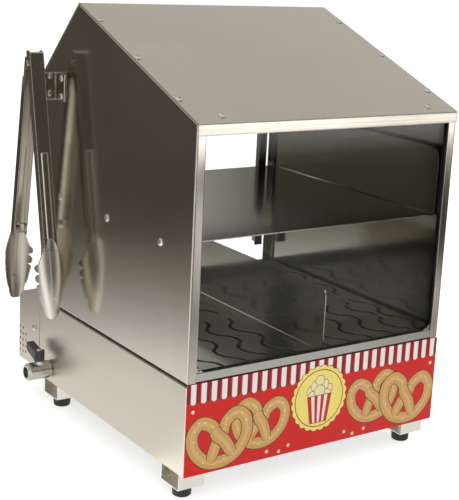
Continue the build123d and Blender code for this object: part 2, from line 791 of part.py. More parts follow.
# ---------------------------------------------------------------- cabinet
def side_outline(inset):
    """Side panel's outline, under the roof sheet, moved inwards by inset."""
    first, middle, last = roof_line(sheet)
    outline = Polygon((front, deck), (back, deck), last, middle, first, align=None)
    outline = fillet(outline.vertices().sort_by(Axis.Y)[-3:], bend_radius)
    return offset(outline, amount=-inset, kind=Kind.INTERSECTION) if inset else outline


def left_side_panel():
    """Five-sided side wall with every edge turned in."""
    outer = extrude(Plane.YZ.offset(left) * side_outline(0), flange)
    outer = fillet(outer.faces().sort_by(Axis.X)[0].edges(), edge_radius)
    inner = extrude(Plane.YZ.offset(left + sheet) * side_outline(sheet), flange)
    panel = outer - inner
    for y, z in shelf_screw_places():
        panel -= rod((left - 1, y, z), (1, 0, 0), screw_hole, 3)
    for point, normal in roof_screw_places():
        panel -= rod(point + normal, -normal, screw_hole, 8)
    for x, y in deck_screw_places():
        panel -= rod((x, y, deck - 1), (0, 0, 1), screw_hole, 3)
    return panel


def hook_holes():
    """Cutter for the two screws that hold the tongs hook."""
    return Compound([rod((left - 3, y, z), (1, 0, 0), screw_hole, 6) for y, z in hook_screw_places()])


def roof_cover():
    """One sheet: front fascia, long front slope, short rear slope and rear fold."""
    first, middle, last = roof_line(0, sheet)
    path = [(first[0], eave - fascia_height), first, middle, last,
            (last[0], last[1] - fascia_height)]
    section = folded(path, sheet, Side.RIGHT)
    roof = extrude(Plane.YZ * section, half_width - rim_setback, both=True)
    for point, normal in roof_screw_places():
        roof -= rod(point + normal, -normal, screw_hole, 4)
    return roof


def roof_screws():
    """Screws down both sides of the front slope and along its front edge."""
    return joined([pan_screw(point, normal, 6.0) for point, normal in roof_screw_places()])


def front_header():
    """Angle behind the fascia that ties the side panels together."""
    first, middle, last = roof_line(sheet)
    slope = ridge_rise / ridge_setback
    path = [(front, eave - fascia_height), first,
            (front + header_leg, first[1] + slope * header_leg)]
    bar = extrude(Plane.YZ * folded(path, sheet, Side.RIGHT), inner_x - seat_gap, both=True)
    for point, normal in roof_screw_places():
        bar -= rod(point + normal, -normal, screw_hole, 8)
    return bar


def front_sill():
    """Channel along the foot of the glass, behind the side panels' front edges."""
    face = front + sheet
    rear = glass_span()[1] + glass_gap + gasket_wall + seat_gap + sheet
    path = [(face, deck + sill_height), (face, deck), (rear, deck), (rear, deck + sill_height - 2)]
    sill = extrude(Plane.YZ * folded(path, sheet, Side.LEFT, sheet + 0.2), wall_x - seat_gap,
                   both=True)
    for side in (-1, 1):
        end = sorted((side * (inner_x - seat_gap), side * half_width))
        sill -= block(end, (front, rear + 1), (deck - 1, cabinet_floor))
    return sill


def glass_span():
    """(low, high) of the front glass in y: behind stile, sill, gusset and rubber."""
    low = front + 3 * sheet + 0.1 + gasket_wall + glass_gap
    return low, low + glass_thickness


def front_glass():
    """Toughened front pane."""
    x = wall_x - 1.1
    pane = block((-x, x), glass_span(), (cabinet_floor + 1.0, eave - 5.0))
    return chamfer(pane.edges().filter_by(Axis.X), 0.4)


def glass_gasket():
    """Rubber channel round the foot and both sides of the front pane."""
    x = wall_x - seat_gap
    low, high = glass_span()
    grip = gasket_wall + glass_gap
    frame = block((-x, x), (low - grip, high + grip), (cabinet_floor, eave - 5.0))
    opening_x = inner_x + 0.5
    frame -= block((-opening_x, opening_x), (front, front + 30),
                   (cabinet_floor + gasket_cover, eave))
    pane_x = wall_x - 1.0
    frame -= block((-pane_x, pane_x), (low - glass_gap, high + glass_gap),
                   (cabinet_floor + gasket_wall, eave))
    return frame


def corner_gussets():
    """Small plates that stiffen the lower corners of the front opening."""
    plates = []
    low = cabinet_floor + 0.3
    for side in (-1, 1):
        x = side * (wall_x - seat_gap)
        outline = Polyline((x, low), (x - side * gusset_width, low), (x, low + gusset_height),
                           close=True)
        face = Plane(origin=(0, front + 2 * sheet, 0), x_dir=(1, 0, 0), z_dir=(0, -1, 0))
        plate = extrude(face * make_face(outline), -sheet)
        hole_x = x - side * (flange + 3.0)
        plates.append(plate - rod((hole_x, front, low + 11.0), (0, 1, 0), 1.2, 6))
    return joined(plates)


def rear_sill():
    """Angle across the foot of the rear opening."""
    path = [(back - rear_sill_run, deck), (back, deck), (back, deck + sill_height + 1)]
    section = folded(path, sheet, Side.LEFT, sheet + 0.3)
    return extrude(Plane.YZ * section, inner_x - seat_gap, both=True)


def rear_header():
    """Sheet above the rear opening, folded under the roof."""
    first, middle, last = roof_line(sheet)
    slope = (ridge - rear_eave) / (cabinet_depth - ridge_setback)
    inner = (back - rear_header_run, last[1] + slope * rear_header_run)
    path = [inner, last, (back, rear_eave - rear_header_height)]
    return extrude(Plane.YZ * folded(path, sheet, Side.RIGHT), inner_x - seat_gap, both=True)


# ---------------------------------------------------------------- rear doors
def groove_y(index):
    """(low, high) of a door groove in y, the inner groove first."""
    low = back - sheet - 3 * track_wall - 2 * track_groove
    low += track_wall + index * (track_wall + track_groove)
    return low, low + track_groove


def track(low, high, open_up):
    """Double channel that guides the two doors."""
    x = wall_x - seat_gap
    body = block((-x, x), (back - sheet - 3 * track_wall - 2 * track_groove, back - sheet),
                 (low, high))
    edges = body.edges().filter_by(Axis.X).group_by(Axis.Y)[-1]
    body = chamfer(edges, 0.5)
    for index in (0, 1):
        span = (low + track_wall, high + 1) if open_up else (low - 1, high - track_wall)
        body -= block((-x - 1, x + 1), groove_y(index), span)
    return body


def lower_track_top():
    """Top edge of the lower track."""
    return cabinet_floor + lower_track_height


def upper_track_low():
    """Lower edge of the upper track."""
    return rear_eave - rear_header_height - 4.0


def door_span(index):
    """(low, high) of a door in x: the left door runs in the inner groove."""
    reach = wall_x - door_end_gap
    return (-reach, door_overlap / 2) if index == 0 else (-door_overlap / 2, reach)


def door_glass(index):
    """Glass door."""
    low, high = groove_y(index)
    middle = (low + high) / 2
    foot = cabinet_floor + track_wall + 0.1
    top = upper_track_low() + upper_track_height - track_wall - 4.0
    pane = block(door_span(index), (middle - glass_thickness / 2, middle + glass_thickness / 2),
                 (foot, top))
    return fillet(pane.edges().filter_by(Axis.Y), 1.5)


def door_handle(index):
    """Folded strip down the door's outer edge, standing out as a grip."""
    low, high = groove_y(index)
    face = (low + high) / 2 + glass_thickness / 2
    side = -1 if index == 0 else 1
    edge = door_span(index)[0 if index == 0 else 1] - side * handle_inset
    foot = cabinet_floor + track_wall + handle_lift
    path = [(edge - side * handle_foot, face), (edge, face), (edge, face + handle_depth)]
    turn = Side.LEFT if side > 0 else Side.RIGHT
    section = folded(path, handle_sheet, turn)
    return extrude(Plane.XY.offset(foot) * section, handle_length)


# ---------------------------------------------------------------- inside
def bun_tray():
    """Shelf with tall sides, their upper corners rounded."""
    top = shelf_z + shelf_side_height - sheet
    low = shelf_z - sheet
    path = [(-shelf_x, top), (-shelf_x, low), (shelf_x, low), (shelf_x, top)]
    length = cabinet_depth - shelf_front - shelf_back
    section = Plane.XZ * folded(path, sheet, Side.LEFT)
    trough = Pos(0, back - shelf_back, 0) * extrude(section, length)
    outline = Rectangle(length, top - low, align=Align.MIN)
    corners = outline.vertices().group_by(Axis.Y)[-1]
    outline = Pos(front + shelf_front, low) * fillet(corners, shelf_corner)
    return trough & extrude(Plane.YZ * outline, half_width, both=True)


def shelf_rail(side):
    """Angle screwed to a side wall that carries the bun tray."""
    top = shelf_z - sheet
    length = cabinet_depth - shelf_front - shelf_back - 8.0
    wall = side * wall_x
    path = [(wall, top - rail_height), (wall, top), (wall - side * rail_width, top)]
    turn = Side.LEFT if side > 0 else Side.RIGHT
    section = Plane.XZ * folded(path, sheet, turn)
    rail = Pos(0, back - shelf_back - 4.0, 0) * extrude(section, length)
    outline = Rectangle(length, rail_height, align=Align.MIN)
    corners = outline.vertices().group_by(Axis.Y)[0]
    outline = Pos(front + shelf_front + 4.0, top - rail_height) * fillet(corners, rail_corner)
    rail = rail & extrude(Plane.YZ * outline, half_width, both=True)
    for y, z in shelf_screw_places():
        rail -= rod((wall - side * 3, y, z), (side, 0, 0), screw_hole, 5)
    return rail


def shelf_screws():
    """Three screws through each side wall into a bun tray rail."""
    places = shelf_screw_places()
    return joined([pan_screw((side * half_width, y, z), (side, 0, 0), 6.0, head=4.0)
                   for side in (-1, 1) for y, z in places])


def wavy_slot():
    """One slot of the steam tray: a wave of tangent arcs, starting and ending on a crest."""
    quarter = wave_length / 4
    path = TangentArc((wave_reach, 0), (0, quarter), tangent=(0, 1))
    heights = [quarter + 2 * quarter * step for step in range(2 * slot_waves)]
    for low, high in zip(heights, heights[1:]):
        path += TangentArc((0, low), (0, high), tangent=path % 1)
    end = (wave_reach, heights[-1] + quarter)
    path += TangentArc((0, heights[-1]), end, tangent=path % 1)
    return make_face(offset(path, amount=slot_width / 2))


def steam_tray():
    """Perforated tray over the water: rows of wavy slots and turned-up edges."""
    y_low = front + steam_tray_front
    y_high = back - steam_tray_back
    top = cabinet_floor + steam_tray_side
    tray = block((-tray_x, tray_x), (y_low, y_high), (cabinet_floor, top))
    tray = fillet(tray.edges().filter_by(Axis.Z), 3.0)
    tray -= block((-tray_x + sheet, tray_x - sheet), (y_low + sheet, y_high - sheet),
                  (tray_floor, top + 1))
    tray -= block((-tray_x + 12, tray_x - 12), (y_low - 1, y_high + 1),
                  (cabinet_floor + steam_tray_lip, top + 1))
    slot = wavy_slot()
    slots = []
    for row in range(slot_rows):
        for side in (-1, 1):
            x = side * (slot_first + row * slot_pitch)
            for group in (0, 1):
                y = front + slot_front + group * slot_break
                slots.append(Pos(x, y) * slot)
    cutter = extrude(Plane.XY.offset(cabinet_floor - 1) * Sketch(children=slots), 4)
    return tray - cutter


def divider():
    """Upright plate on a narrow foot that parts the steam tray in two."""
    low = tray_floor
    path = [(divider_x - divider_foot, low), (divider_x, low), (divider_x, low + divider_height)]
    section = Plane.XZ * folded(path, sheet, Side.LEFT)
    plate = Pos(0, front + divider_front + divider_length, 0) * extrude(section, divider_length)
    outline = Rectangle(divider_length, divider_height, align=Align.MIN)
    corners = outline.vertices().group_by(Axis.Y)[-1]
    outline = Pos(front + divider_front, low) * fillet(corners, divider_corner)
    return plate & extrude(Plane.YZ * outline, half_width, both=True)


# ---------------------------------------------------------------- tongs
def hook_screw_places():
    """(y, z) of the hook's two screws."""
    y = hook_y + hook_sheet / 2 - hook_plate / 2 - 4.0
    middle = hook_top - hook_height / 2
    return [(y, middle - 10.0), (y, middle + 10.0)]


def tongs_hook():
    """Angle on the left wall; its arm ends in a tongue that carries the tongs' spring."""
    rear = hook_y + hook_sheet / 2
    low = hook_top - hook_height
    plate = block((left - hook_sheet, left), (rear - hook_plate, rear), (low, hook_top))
    face = Plane(origin=(0, rear, 0), x_dir=(1, 0, 0), z_dir=(0, -1, 0))
    tip = left - hook_arm
    tongue = tip + tongue_width
    root = left - hook_root
    arm_low = hook_top - hook_arm_height
    outline = Polyline((left, low), (root, low), (root - 6, arm_low), (tip, arm_low),
                       (tip, tongs_z - coil_radius - rest_gap),
                       (tongue, tongs_z - coil_radius - rest_gap), (tongue + 2, hook_top),
                       (left, hook_top), close=True)
    arm = extrude(face * make_face(outline), hook_sheet)
    hook = plate + arm
    for y, z in hook_screw_places():
        hook -= rod((left - 3, y, z), (1, 0, 0), screw_hole, 6)
    return hook


def hook_screws():
    """The hook's two screws."""
    return joined([pan_screw((left - hook_sheet, y, z), (-1, 0, 0), 6.0, head=3.8)
                   for y, z in hook_screw_places()])


def arm_outline(lug_radius):
    """Side outline of an arm's walls about the pivot: (y, z), the arm's back at -y."""
    outer = -tongs_offset
    lip = outer + tongs_wall
    low = -tongs_arm - 3
    wall = Polyline((outer, tongs_top - 3), (outer + 3, tongs_top), (lip, tongs_top),
                    (lip, low), (outer, low), close=True)
    lug = Pos(outer / 2, 0) * Rectangle(tongs_offset, 2 * lug_radius)
    return make_face(wall) + lug + Circle(lug_radius)


def head_line():
    """Arc that a head's back follows from the arm to the tip, (y, z)."""
    return ThreePointArc((-tongs_offset, -tongs_arm + 9),
                         (-head_back, -(tongs_arm + tongs_head) / 2 + 4),
                         (-1.0, -tongs_head))


def head_band(inner, outer, low, turn=360.0):
    """Barrel of revolution behind the head line: from inner to outer past it, down to low."""
    line = head_line()
    middle = Pos(line.arc_center.X, line.arc_center.Y)
    ring = middle * Circle(line.radius + outer) - middle * Circle(line.radius + inner)
    height = low - tongs_arm + 9
    band = ring & Pos(-tongs_offset, -low + height / 2) * Rectangle(2 * tongs_offset, height)
    axis_y = barrel_radius - head_back
    axis = Axis((0, axis_y, 0), (0, 0, 1))
    turned = Pos(0, axis_y, 0) * Rot(0, 0, -turn / 2) * Pos(0, -axis_y, 0)
    return turned * revolve(Plane.YZ * band, axis, turn)


def head_outline():
    """Front outline of a tongs head: a paddle with scalloped edges, (x, z)."""
    neck = tongs_width / 2
    core = head_half_width - 4.0
    first = -tongs_arm - head_flare
    last = first - (scallops - 1) * scallop_pitch
    outline = make_face(Polyline((-neck, -tongs_arm + 8), (neck, -tongs_arm + 8),
                                 (neck, -tongs_arm), (head_half_width - 1, first),
                                 (core, first - 4), (core, last),
                                 (head_tip_radius - 1.5, -tongs_head + 8),
                                 (1.5 - head_tip_radius, -tongs_head + 8),
                                 (-core, last), (-core, first - 4),
                                 (1 - head_half_width, first), (-neck, -tongs_arm),
                                 close=True))
    x = head_half_width - scallop_radius
    for step in range(scallops):
        for side in (-1, 1):
            outline += Pos(side * x, first - step * scallop_pitch) * Circle(scallop_radius)
    return outline + Pos(0, -tongs_head + head_tip_radius) * Circle(head_tip_radius)


def scalloped_head():
    """Scalloped head: the barrel skin cut to the paddle's outline."""
    blank = extrude(Plane.XZ * head_outline(), 40, both=True)
    back_half = block((-30, 30), (-40, head_rim), (-tongs_head - 5, -tongs_arm + 20))
    return head_band(-tongs_sheet, 0.0, tongs_head) & blank & back_half


def pressed_rib():
    """Rib pressed out of an arm and its head: (what it adds outside, its hollow inside)."""
    top, low = -rib_start, -tongs_arm + 8
    outer = -tongs_offset
    slope = 1.0
    section = Polyline((-rib_half_width, outer + 0.5), (-rib_half_width, outer),
                       (-rib_half_width + slope, outer - rib_height),
                       (rib_half_width - slope, outer - rib_height),
                       (rib_half_width, outer), (rib_half_width, outer + 0.5), close=True)
    add = extrude(Plane.XY.offset(low) * make_face(section), top - low)
    turn = degrees(2 * (rib_half_width - slope / 2) / barrel_radius)
    add += head_band(-0.5, rib_height, rib_end, turn)
    skin = rib_height - tongs_sheet
    hollow = rib_half_width - tongs_sheet
    cut = block((-hollow, hollow), (outer - skin, outer + tongs_sheet + 1),
                (low, top - tongs_sheet))
    turn = degrees(2 * (hollow - slope / 2) / barrel_radius)
    cut += head_band(-tongs_sheet - 0.5, skin, rib_end - tongs_sheet, turn)
    return add, cut


def tongs_arm_blank(lug_radius):
    """One arm with outward lugs, hanging straight down from the pivot, its back at -y."""
    half = tongs_width / 2
    solid = extrude(Plane.YZ * arm_outline(lug_radius), half, both=True)
    solid -= block((-half + tongs_sheet, half - tongs_sheet),
                   (-tongs_offset + tongs_sheet, 30), (-tongs_arm - 10, tongs_top + 1))
    rib, hollow = pressed_rib()
    return solid + scalloped_head() + rib - hollow


def hang(shape, angle):
    """Turn an arm about the pivot and carry it to the hook."""
    return Pos(tongs_x, hook_y, tongs_z) * (Rot(angle, 0, 0) * shape)


def tongs_front_arm():
    """Arm whose lugs are outside at the pivot."""
    arm = tongs_arm_blank(tongs_front_lug)
    arm -= rod((-tongs_width, 0, 0), (1, 0, 0), pin_radius + pin_running_gap, 2 * tongs_width)
    return hang(arm, -tongs_front_lean)


def tongs_rear_arm():
    """Arm whose lugs sit inside the other arm's at the pivot."""
    half = tongs_width / 2
    outer = -tongs_offset
    neck = outer + tongs_neck_depth
    shoulder = -tongs_neck_drop
    arm = tongs_arm_blank(tongs_rear_lug)
    arm -= block((-half - 1, half + 1), (-30, 30), (shoulder, tongs_top + 1))
    above = make_face(Polyline((neck, shoulder + 1), (neck, shoulder - 7), (0, shoulder - 21),
                               (2, shoulder - 21), (2, shoulder + 1), close=True))
    arm -= extrude(Plane.YZ * above, half + 1, both=True)
    reach = shoulder - 14
    lug = make_face(Polyline((outer, tongs_rear_lug), (0, tongs_rear_lug), (0, -tongs_rear_lug),
                             (neck, -tongs_rear_lug), (neck, reach), (outer, reach),
                             close=True)) + Circle(tongs_rear_lug)
    inner = half - tongs_sheet - 0.15
    for side in (-1, 1):
        start = min(side * inner, side * (inner - tongs_sheet))
        arm += extrude(Plane.YZ.offset(start) * lug, tongs_sheet)
    arm += block((-inner, inner), (outer, outer + tongs_sheet), (shoulder - 10, tongs_rear_lug))
    arm -= rod((-tongs_width, 0, 0), (1, 0, 0), pin_radius + pin_running_gap, 2 * tongs_width)
    return hang(Rot(0, 0, 180) * arm, tongs_rear_lean)


def tongs_pin():
    """Headed pin that joins the arms."""
    half = tongs_width / 2
    pin = rod((-half - 1.4, 0, 0), (1, 0, 0), pin_radius, 2 * half + 2.8)
    for side in (-1, 1):
        pin += rod((side * (half + 0.1), 0, 0), (side, 0, 0), 3.4, 1.3)
    return Pos(tongs_x, hook_y, tongs_z) * pin


def tongs_spring():
    """Wound spring on the pin, drawn as the sleeve that its turns fill."""
    low = -coil_length / 2
    ring = rod((low, 0, 0), (1, 0, 0), coil_radius, coil_length)
    ring -= rod((low - 1, 0, 0), (1, 0, 0), pin_radius + pin_running_gap, coil_length + 2)
    return Pos(tongs_x, hook_y, tongs_z) * ring


# ---------------------------------------------------------------- write the nodes
save(base_housing(), "base_housing")
save(base_plate(), "base_plate")
save(front_graphic(), "front_graphic")
save(water_pan(), "water_pan")
save(rim_gasket(), "rim_gasket")
for place, (x, y) in bracket_places().items():
    save(foot_bracket(x, y), "foot_bracket_" + place)
    save(rubber_foot(x, y), "rubber_foot_" + place)
save(joined([foot_screw(x, y) for x, y in bracket_places().values()]), "foot_screws")

save(drain_elbow(), "drain_elbow")
save(drain_nuts(), "drain_nuts")
save(valve_body(), "valve_body")
save(valve_ball(), "valve_ball")
save(valve_lever(), "valve_lever")
save(lever_screw(), "lever_screw")

save(heating_element(), "heating_element")
save(pan_glands(), "pan_glands")
save(thermostat_bulb(), "thermostat_bulb")
save(control_box(), "control_box")
save(thermostat(), "thermostat")
save(thermostat_knob(), "thermostat_knob")
save(switch_body(), "switch_body")
save(switch_rocker(), "switch_rocker")
save(pilot_lamp(), "pilot_lamp")
save(cord_gland(), "cord_gland")
save(terminal_block(), "terminal_block")

side_panel = left_side_panel()
save(side_panel - hook_holes(), "left_side_panel")
save(mirror(side_panel, about=Plane.YZ), "right_side_panel")
save(roof_cover(), "roof_cover")
save(roof_screws(), "roof_screws")
save(front_header(), "front_header")
save(front_sill(), "front_sill")
save(front_glass(), "front_glass")
save(glass_gasket(), "glass_gasket")
save(corner_gussets(), "corner_gussets")
save(rear_sill(), "rear_sill")
save(rear_header(), "rear_header")
save(track(cabinet_floor, lower_track_top(), True), "lower_track")
save(track(upper_track_low(), upper_track_low() + upper_track_height, False), "upper_track")
for index, hand in enumerate(("left", "right")):
    save(door_glass(index), "rear_door_" + hand)
    save(door_handle(index), "door_handle_" + hand)

save(bun_tray(), "bun_tray")
save(shelf_rail(-1), "shelf_rail_left")
save(shelf_rail(1), "shelf_rail_right")
save(shelf_screws(), "shelf_screws")
save(steam_tray(), "steam_tray")
save(divider(), "divider")

save(tongs_hook(), "tongs_hook")
save(joined([deck_screws(), box_screws(), hook_screws()]), "casing_screws")
save(tongs_front_arm(), "tongs_front_arm")
save(tongs_rear_arm(), "tongs_rear_arm")
save(tongs_pin(), "tongs_pin")
save(tongs_spring(), "tongs_spring")
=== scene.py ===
"""Dresses the counter-top hot dog steamer: finishes, small parts, printed front and studio."""
import json
import logging
import math
import random
from dataclasses import dataclass
from enum import Enum
from typing import ClassVar

import bmesh
import bpy
from mathutils import Matrix, Vector

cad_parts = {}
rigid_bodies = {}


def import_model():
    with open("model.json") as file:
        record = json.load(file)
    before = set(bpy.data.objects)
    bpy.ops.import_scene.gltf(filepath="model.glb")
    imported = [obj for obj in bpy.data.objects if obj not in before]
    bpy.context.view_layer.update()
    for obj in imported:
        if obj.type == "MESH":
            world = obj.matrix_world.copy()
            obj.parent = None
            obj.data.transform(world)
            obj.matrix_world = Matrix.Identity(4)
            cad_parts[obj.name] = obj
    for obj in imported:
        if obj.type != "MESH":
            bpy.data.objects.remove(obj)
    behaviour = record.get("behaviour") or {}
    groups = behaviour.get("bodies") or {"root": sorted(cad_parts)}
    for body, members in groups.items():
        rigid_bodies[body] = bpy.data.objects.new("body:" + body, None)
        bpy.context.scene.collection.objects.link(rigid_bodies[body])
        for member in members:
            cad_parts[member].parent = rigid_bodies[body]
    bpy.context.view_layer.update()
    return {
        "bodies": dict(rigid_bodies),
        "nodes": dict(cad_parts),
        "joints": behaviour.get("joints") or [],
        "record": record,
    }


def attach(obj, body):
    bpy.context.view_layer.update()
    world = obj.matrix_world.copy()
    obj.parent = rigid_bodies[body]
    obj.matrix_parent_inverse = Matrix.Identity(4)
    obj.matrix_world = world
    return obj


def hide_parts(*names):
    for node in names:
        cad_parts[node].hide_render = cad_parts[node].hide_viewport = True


LOG = logging.getLogger("steamer")
Colour = tuple[float, float, float]
Point = tuple[float, float]
Place = tuple[float, float, float]
Stops = list[tuple[float, Colour]]
Socket = bpy.types.NodeSocket
Value = Socket | float
MM = 0.001


# ---------------------------------------------------------------- node trees
class Tree:
    """Short way to add and wire nodes in a material, world or geometry tree."""

    def __init__(self, tree: bpy.types.NodeTree) -> None:
        """Keeps the tree that the nodes go into.

        Args:
            tree: The node tree to fill.
        """
        self.tree = tree

    def add(self, kind: str, inputs: dict | None = None, **settings) -> bpy.types.Node:
        """Adds a node, sets its options and fills its inputs with values or links.

        Args:
            kind: Blender's name of the node type.
            inputs: Values, or output sockets to link, by the input's name or number.
            **settings: Options of the node itself.

        Returns:
            The new node.
        """
        node = self.tree.nodes.new(kind)
        for name, value in settings.items():
            setattr(node, name, value)
        for name, value in (inputs or {}).items():
            socket = node.inputs[name]
            if isinstance(value, Socket):
                self.tree.links.new(value, socket)
            else:
                socket.default_value = value
        return node

    def out(self, kind: str, inputs: dict | None = None, **settings) -> Socket:
        """Adds a node as add() does and returns its first output."""
        return self.add(kind, inputs, **settings).outputs[0]

    def math(self, operation: str, first: Value, second: Value = 0.0,
             clamp: bool = False) -> Socket:
        """Adds a Math node and returns its result."""
        return self.out("ShaderNodeMath", {0: first, 1: second}, operation=operation,
                        use_clamp=clamp)

    def ramp(self, value: Socket, stops: Stops, smooth: bool = True) -> Socket:
        """Adds a colour ramp.

        Args:
            value: Socket that drives the ramp.
            stops: Positions and colours.
            smooth: Ease between the stops instead of going straight.

        Returns:
            The ramp's colour output.
        """
        node = self.add("ShaderNodeValToRGB", {0: value})
        node.color_ramp.interpolation = "EASE" if smooth else "LINEAR"
        elements = node.color_ramp.elements
        while len(elements) < len(stops):
            elements.new(0.5)
        for element, (place, colour) in zip(elements, sorted(stops, key=lambda stop: stop[0])):
            element.position = place
            element.color = (*colour, 1.0)
        return node.outputs[0]

    def span(self, value: Socket, low: float, high: float, to_low: float,
             to_high: float) -> Socket:
        """Maps one range of values to another and returns the result."""
        return self.out("ShaderNodeMapRange", {
            0: value, 1: low, 2: high, 3: to_low, 4: to_high})

    def vary(self, noise: Socket, low: float, high: float) -> Socket:
        """Maps the middle values of a noise to a range and returns the result."""
        return self.span(noise, 0.3, 0.7, low, high)

    def place(self) -> Socket:
        """Returns the object's own coordinates."""
        return self.add("ShaderNodeTexCoord").outputs["Object"]

    def axes(self, vector: Socket) -> tuple[Socket, ...]:
        """Splits a vector and returns its three parts."""
        return tuple(self.add("ShaderNodeSeparateXYZ", {0: vector}).outputs)

    def vector(self, x: Value = 0.0, y: Value = 0.0, z: Value = 0.0) -> Socket:
        """Joins three parts into a vector and returns it."""
        return self.out("ShaderNodeCombineXYZ", {0: x, 1: y, 2: z})

    def noise(self, vector: Socket, scale: float, detail: float, roughness: float = 0.5,
              distortion: float = 0.0) -> Socket:
        """Adds a Noise texture and returns its value."""
        return self.out("ShaderNodeTexNoise", {
            "Vector": vector, "Scale": scale, "Detail": detail, "Roughness": roughness,
            "Distortion": distortion})

    def blend(self, share: Value, first: Socket | tuple, second: Socket | tuple,
              **settings) -> Socket:
        """Adds a Mix node for colours and returns its colour."""
        return self.add("ShaderNodeMix", {0: share, 6: first, 7: second}, data_type="RGBA",
                        **settings).outputs[2]

    def bump(self, height: Socket, strength: float, distance: float, **normal: Socket) -> Socket:
        """Adds a Bump node, on top of a Normal if one is given, and returns its normal."""
        return self.out("ShaderNodeBump", {
            "Strength": strength, "Distance": distance, "Height": height, **normal})


def clear_tree(owner: bpy.types.Material | bpy.types.World) -> Tree:
    """Empties the node tree of a material or world and returns it."""
    owner.use_nodes = True
    owner.node_tree.nodes.clear()
    return Tree(owner.node_tree)


def new_object(name: str, data: bpy.types.ID) -> bpy.types.Object:
    """Makes an object of a mesh, lamp or camera and puts it in the scene."""
    made = bpy.data.objects.new(name, data)
    bpy.context.scene.collection.objects.link(made)
    return made


def darker(colour: Colour, share: float) -> Colour:
    """Returns a share of a colour."""
    return tuple(part * share for part in colour)


# ---------------------------------------------------------------- finishes
@dataclass(frozen=True)
class Surface:
    """A finish: its name, its colour and how its shader is fed."""

    name: str
    colour: Colour

    def shade(self, tree: Tree, place: Socket) -> dict[str, object]:
        """Returns the shader's inputs, worked out from the object's own coordinates."""
        raise NotImplementedError

    def build(self) -> bpy.types.Material:
        """Makes the material.

        Returns:
            The material.
        """
        material = bpy.data.materials.new(self.name)
        tree = clear_tree(material)
        shader = tree.out("ShaderNodeBsdfPrincipled", self.shade(tree, tree.place()))
        tree.add("ShaderNodeOutputMaterial", {"Surface": shader})
        return material


class Grain(Enum):
    """Direction of a sheet's polishing lines, as the pattern's squeeze along each axis."""

    ALONG_X = (2.0, 900.0, 900.0)
    ALONG_Y = (900.0, 2.0, 900.0)
    ALONG_Z = (900.0, 900.0, 2.0)


@dataclass(frozen=True)
class SheetSteel(Surface):
    """Stainless sheet with faint polishing lines, wipe marks and a slight waviness."""

    roughness: float
    grain: Grain
    lines: float = 0.05
    smears: float = 0.06
    edge: float = 0.9 * MM
    waviness: float = 0.10
    satin_below: float = -1.0
    SMEAR_SCALE: ClassVar[float] = 7.0
    WAVE_SCALE: ClassVar[float] = 3.0
    WAVE_HEIGHT: ClassVar[float] = 4.0 * MM
    LINE_STRENGTH: ClassVar[float] = 0.04
    LINE_HEIGHT: ClassVar[float] = 0.2 * MM
    SATIN_BAND: ClassVar[float] = 6.0 * MM
    SATIN_ROUGHNESS: ClassVar[float] = 0.20

    def shade(self, tree: Tree, place: Socket) -> dict[str, object]:
        """Returns the shader's inputs."""
        squeezed = tree.out("ShaderNodeMapping", {"Vector": place, "Scale": self.grain.value})
        lines = tree.noise(squeezed, 1.0, 3.0, 0.6)
        smear = tree.noise(place, self.SMEAR_SCALE, 4.0, 0.55, 0.6)
        rough = tree.math("ADD", tree.vary(lines, -self.lines, self.lines),
                          tree.vary(smear, self.roughness - self.smears * 0.5,
                                    self.roughness + self.smears))
        if self.satin_below > 0:
            satin = tree.span(tree.axes(place)[2], self.satin_below + self.SATIN_BAND,
                              self.satin_below - self.SATIN_BAND, 0.0, self.SATIN_ROUGHNESS)
            rough = tree.math("ADD", rough, satin)
        tone = tree.ramp(smear, [(0.25, darker(self.colour, 0.94)), (0.75, self.colour)])
        wave = tree.noise(place, self.WAVE_SCALE, 1.0)
        rounded = tree.out("ShaderNodeBevel", {"Radius": self.edge}, samples=4)
        dents = tree.bump(wave, self.waviness, self.WAVE_HEIGHT, Normal=rounded)
        scratch = tree.bump(lines, self.LINE_STRENGTH, self.LINE_HEIGHT, Normal=dents)
        return {"Metallic": 1.0, "Base Color": tone, "Roughness": rough, "Normal": scratch}


@dataclass(frozen=True)
class TurnedMetal(Surface):
    """Plated or turned metal of small parts, slightly uneven and darker in patches."""

    roughness: float
    speck_scale: float = 400.0
    specks: float = 0.05
    CLOUD_SCALE: ClassVar[float] = 60.0
    SPECK_HEIGHT: ClassVar[float] = 0.2 * MM

    def shade(self, tree: Tree, place: Socket) -> dict[str, object]:
        """Returns the shader's inputs."""
        specks = tree.noise(place, self.speck_scale, 2.0)
        cloud = tree.noise(place, self.CLOUD_SCALE, 2.0)
        tone = tree.ramp(cloud, [(0.3, darker(self.colour, 0.85)), (0.7, self.colour)])
        rough = tree.vary(specks, self.roughness * 0.8, self.roughness * 1.3)
        return {"Metallic": 1.0, "Base Color": tone, "Roughness": rough,
                "Normal": tree.bump(specks, self.specks, self.SPECK_HEIGHT)}


@dataclass(frozen=True)
class Moulding(Surface):
    """Moulded plastic or rubber with a fine moulded texture."""

    roughness: float
    texture_scale: float = 900.0
    texture: float = 0.15
    DUST_SCALE: ClassVar[float] = 30.0
    SPREAD: ClassVar[float] = 0.08
    TEXTURE_HEIGHT: ClassVar[float] = 0.3 * MM

    def shade(self, tree: Tree, place: Socket) -> dict[str, object]:
        """Returns the shader's inputs."""
        fine = tree.noise(place, self.texture_scale, 3.0)
        dust = tree.noise(place, self.DUST_SCALE, 3.0)
        dusty = tuple(part * 1.25 + 0.01 for part in self.colour)
        tone = tree.ramp(dust, [(0.3, self.colour), (0.8, dusty)])
        rough = tree.vary(fine, self.roughness - self.SPREAD, self.roughness + self.SPREAD)
        return {"Base Color": tone, "Roughness": rough,
                "Normal": tree.bump(fine, self.texture, self.TEXTURE_HEIGHT)}


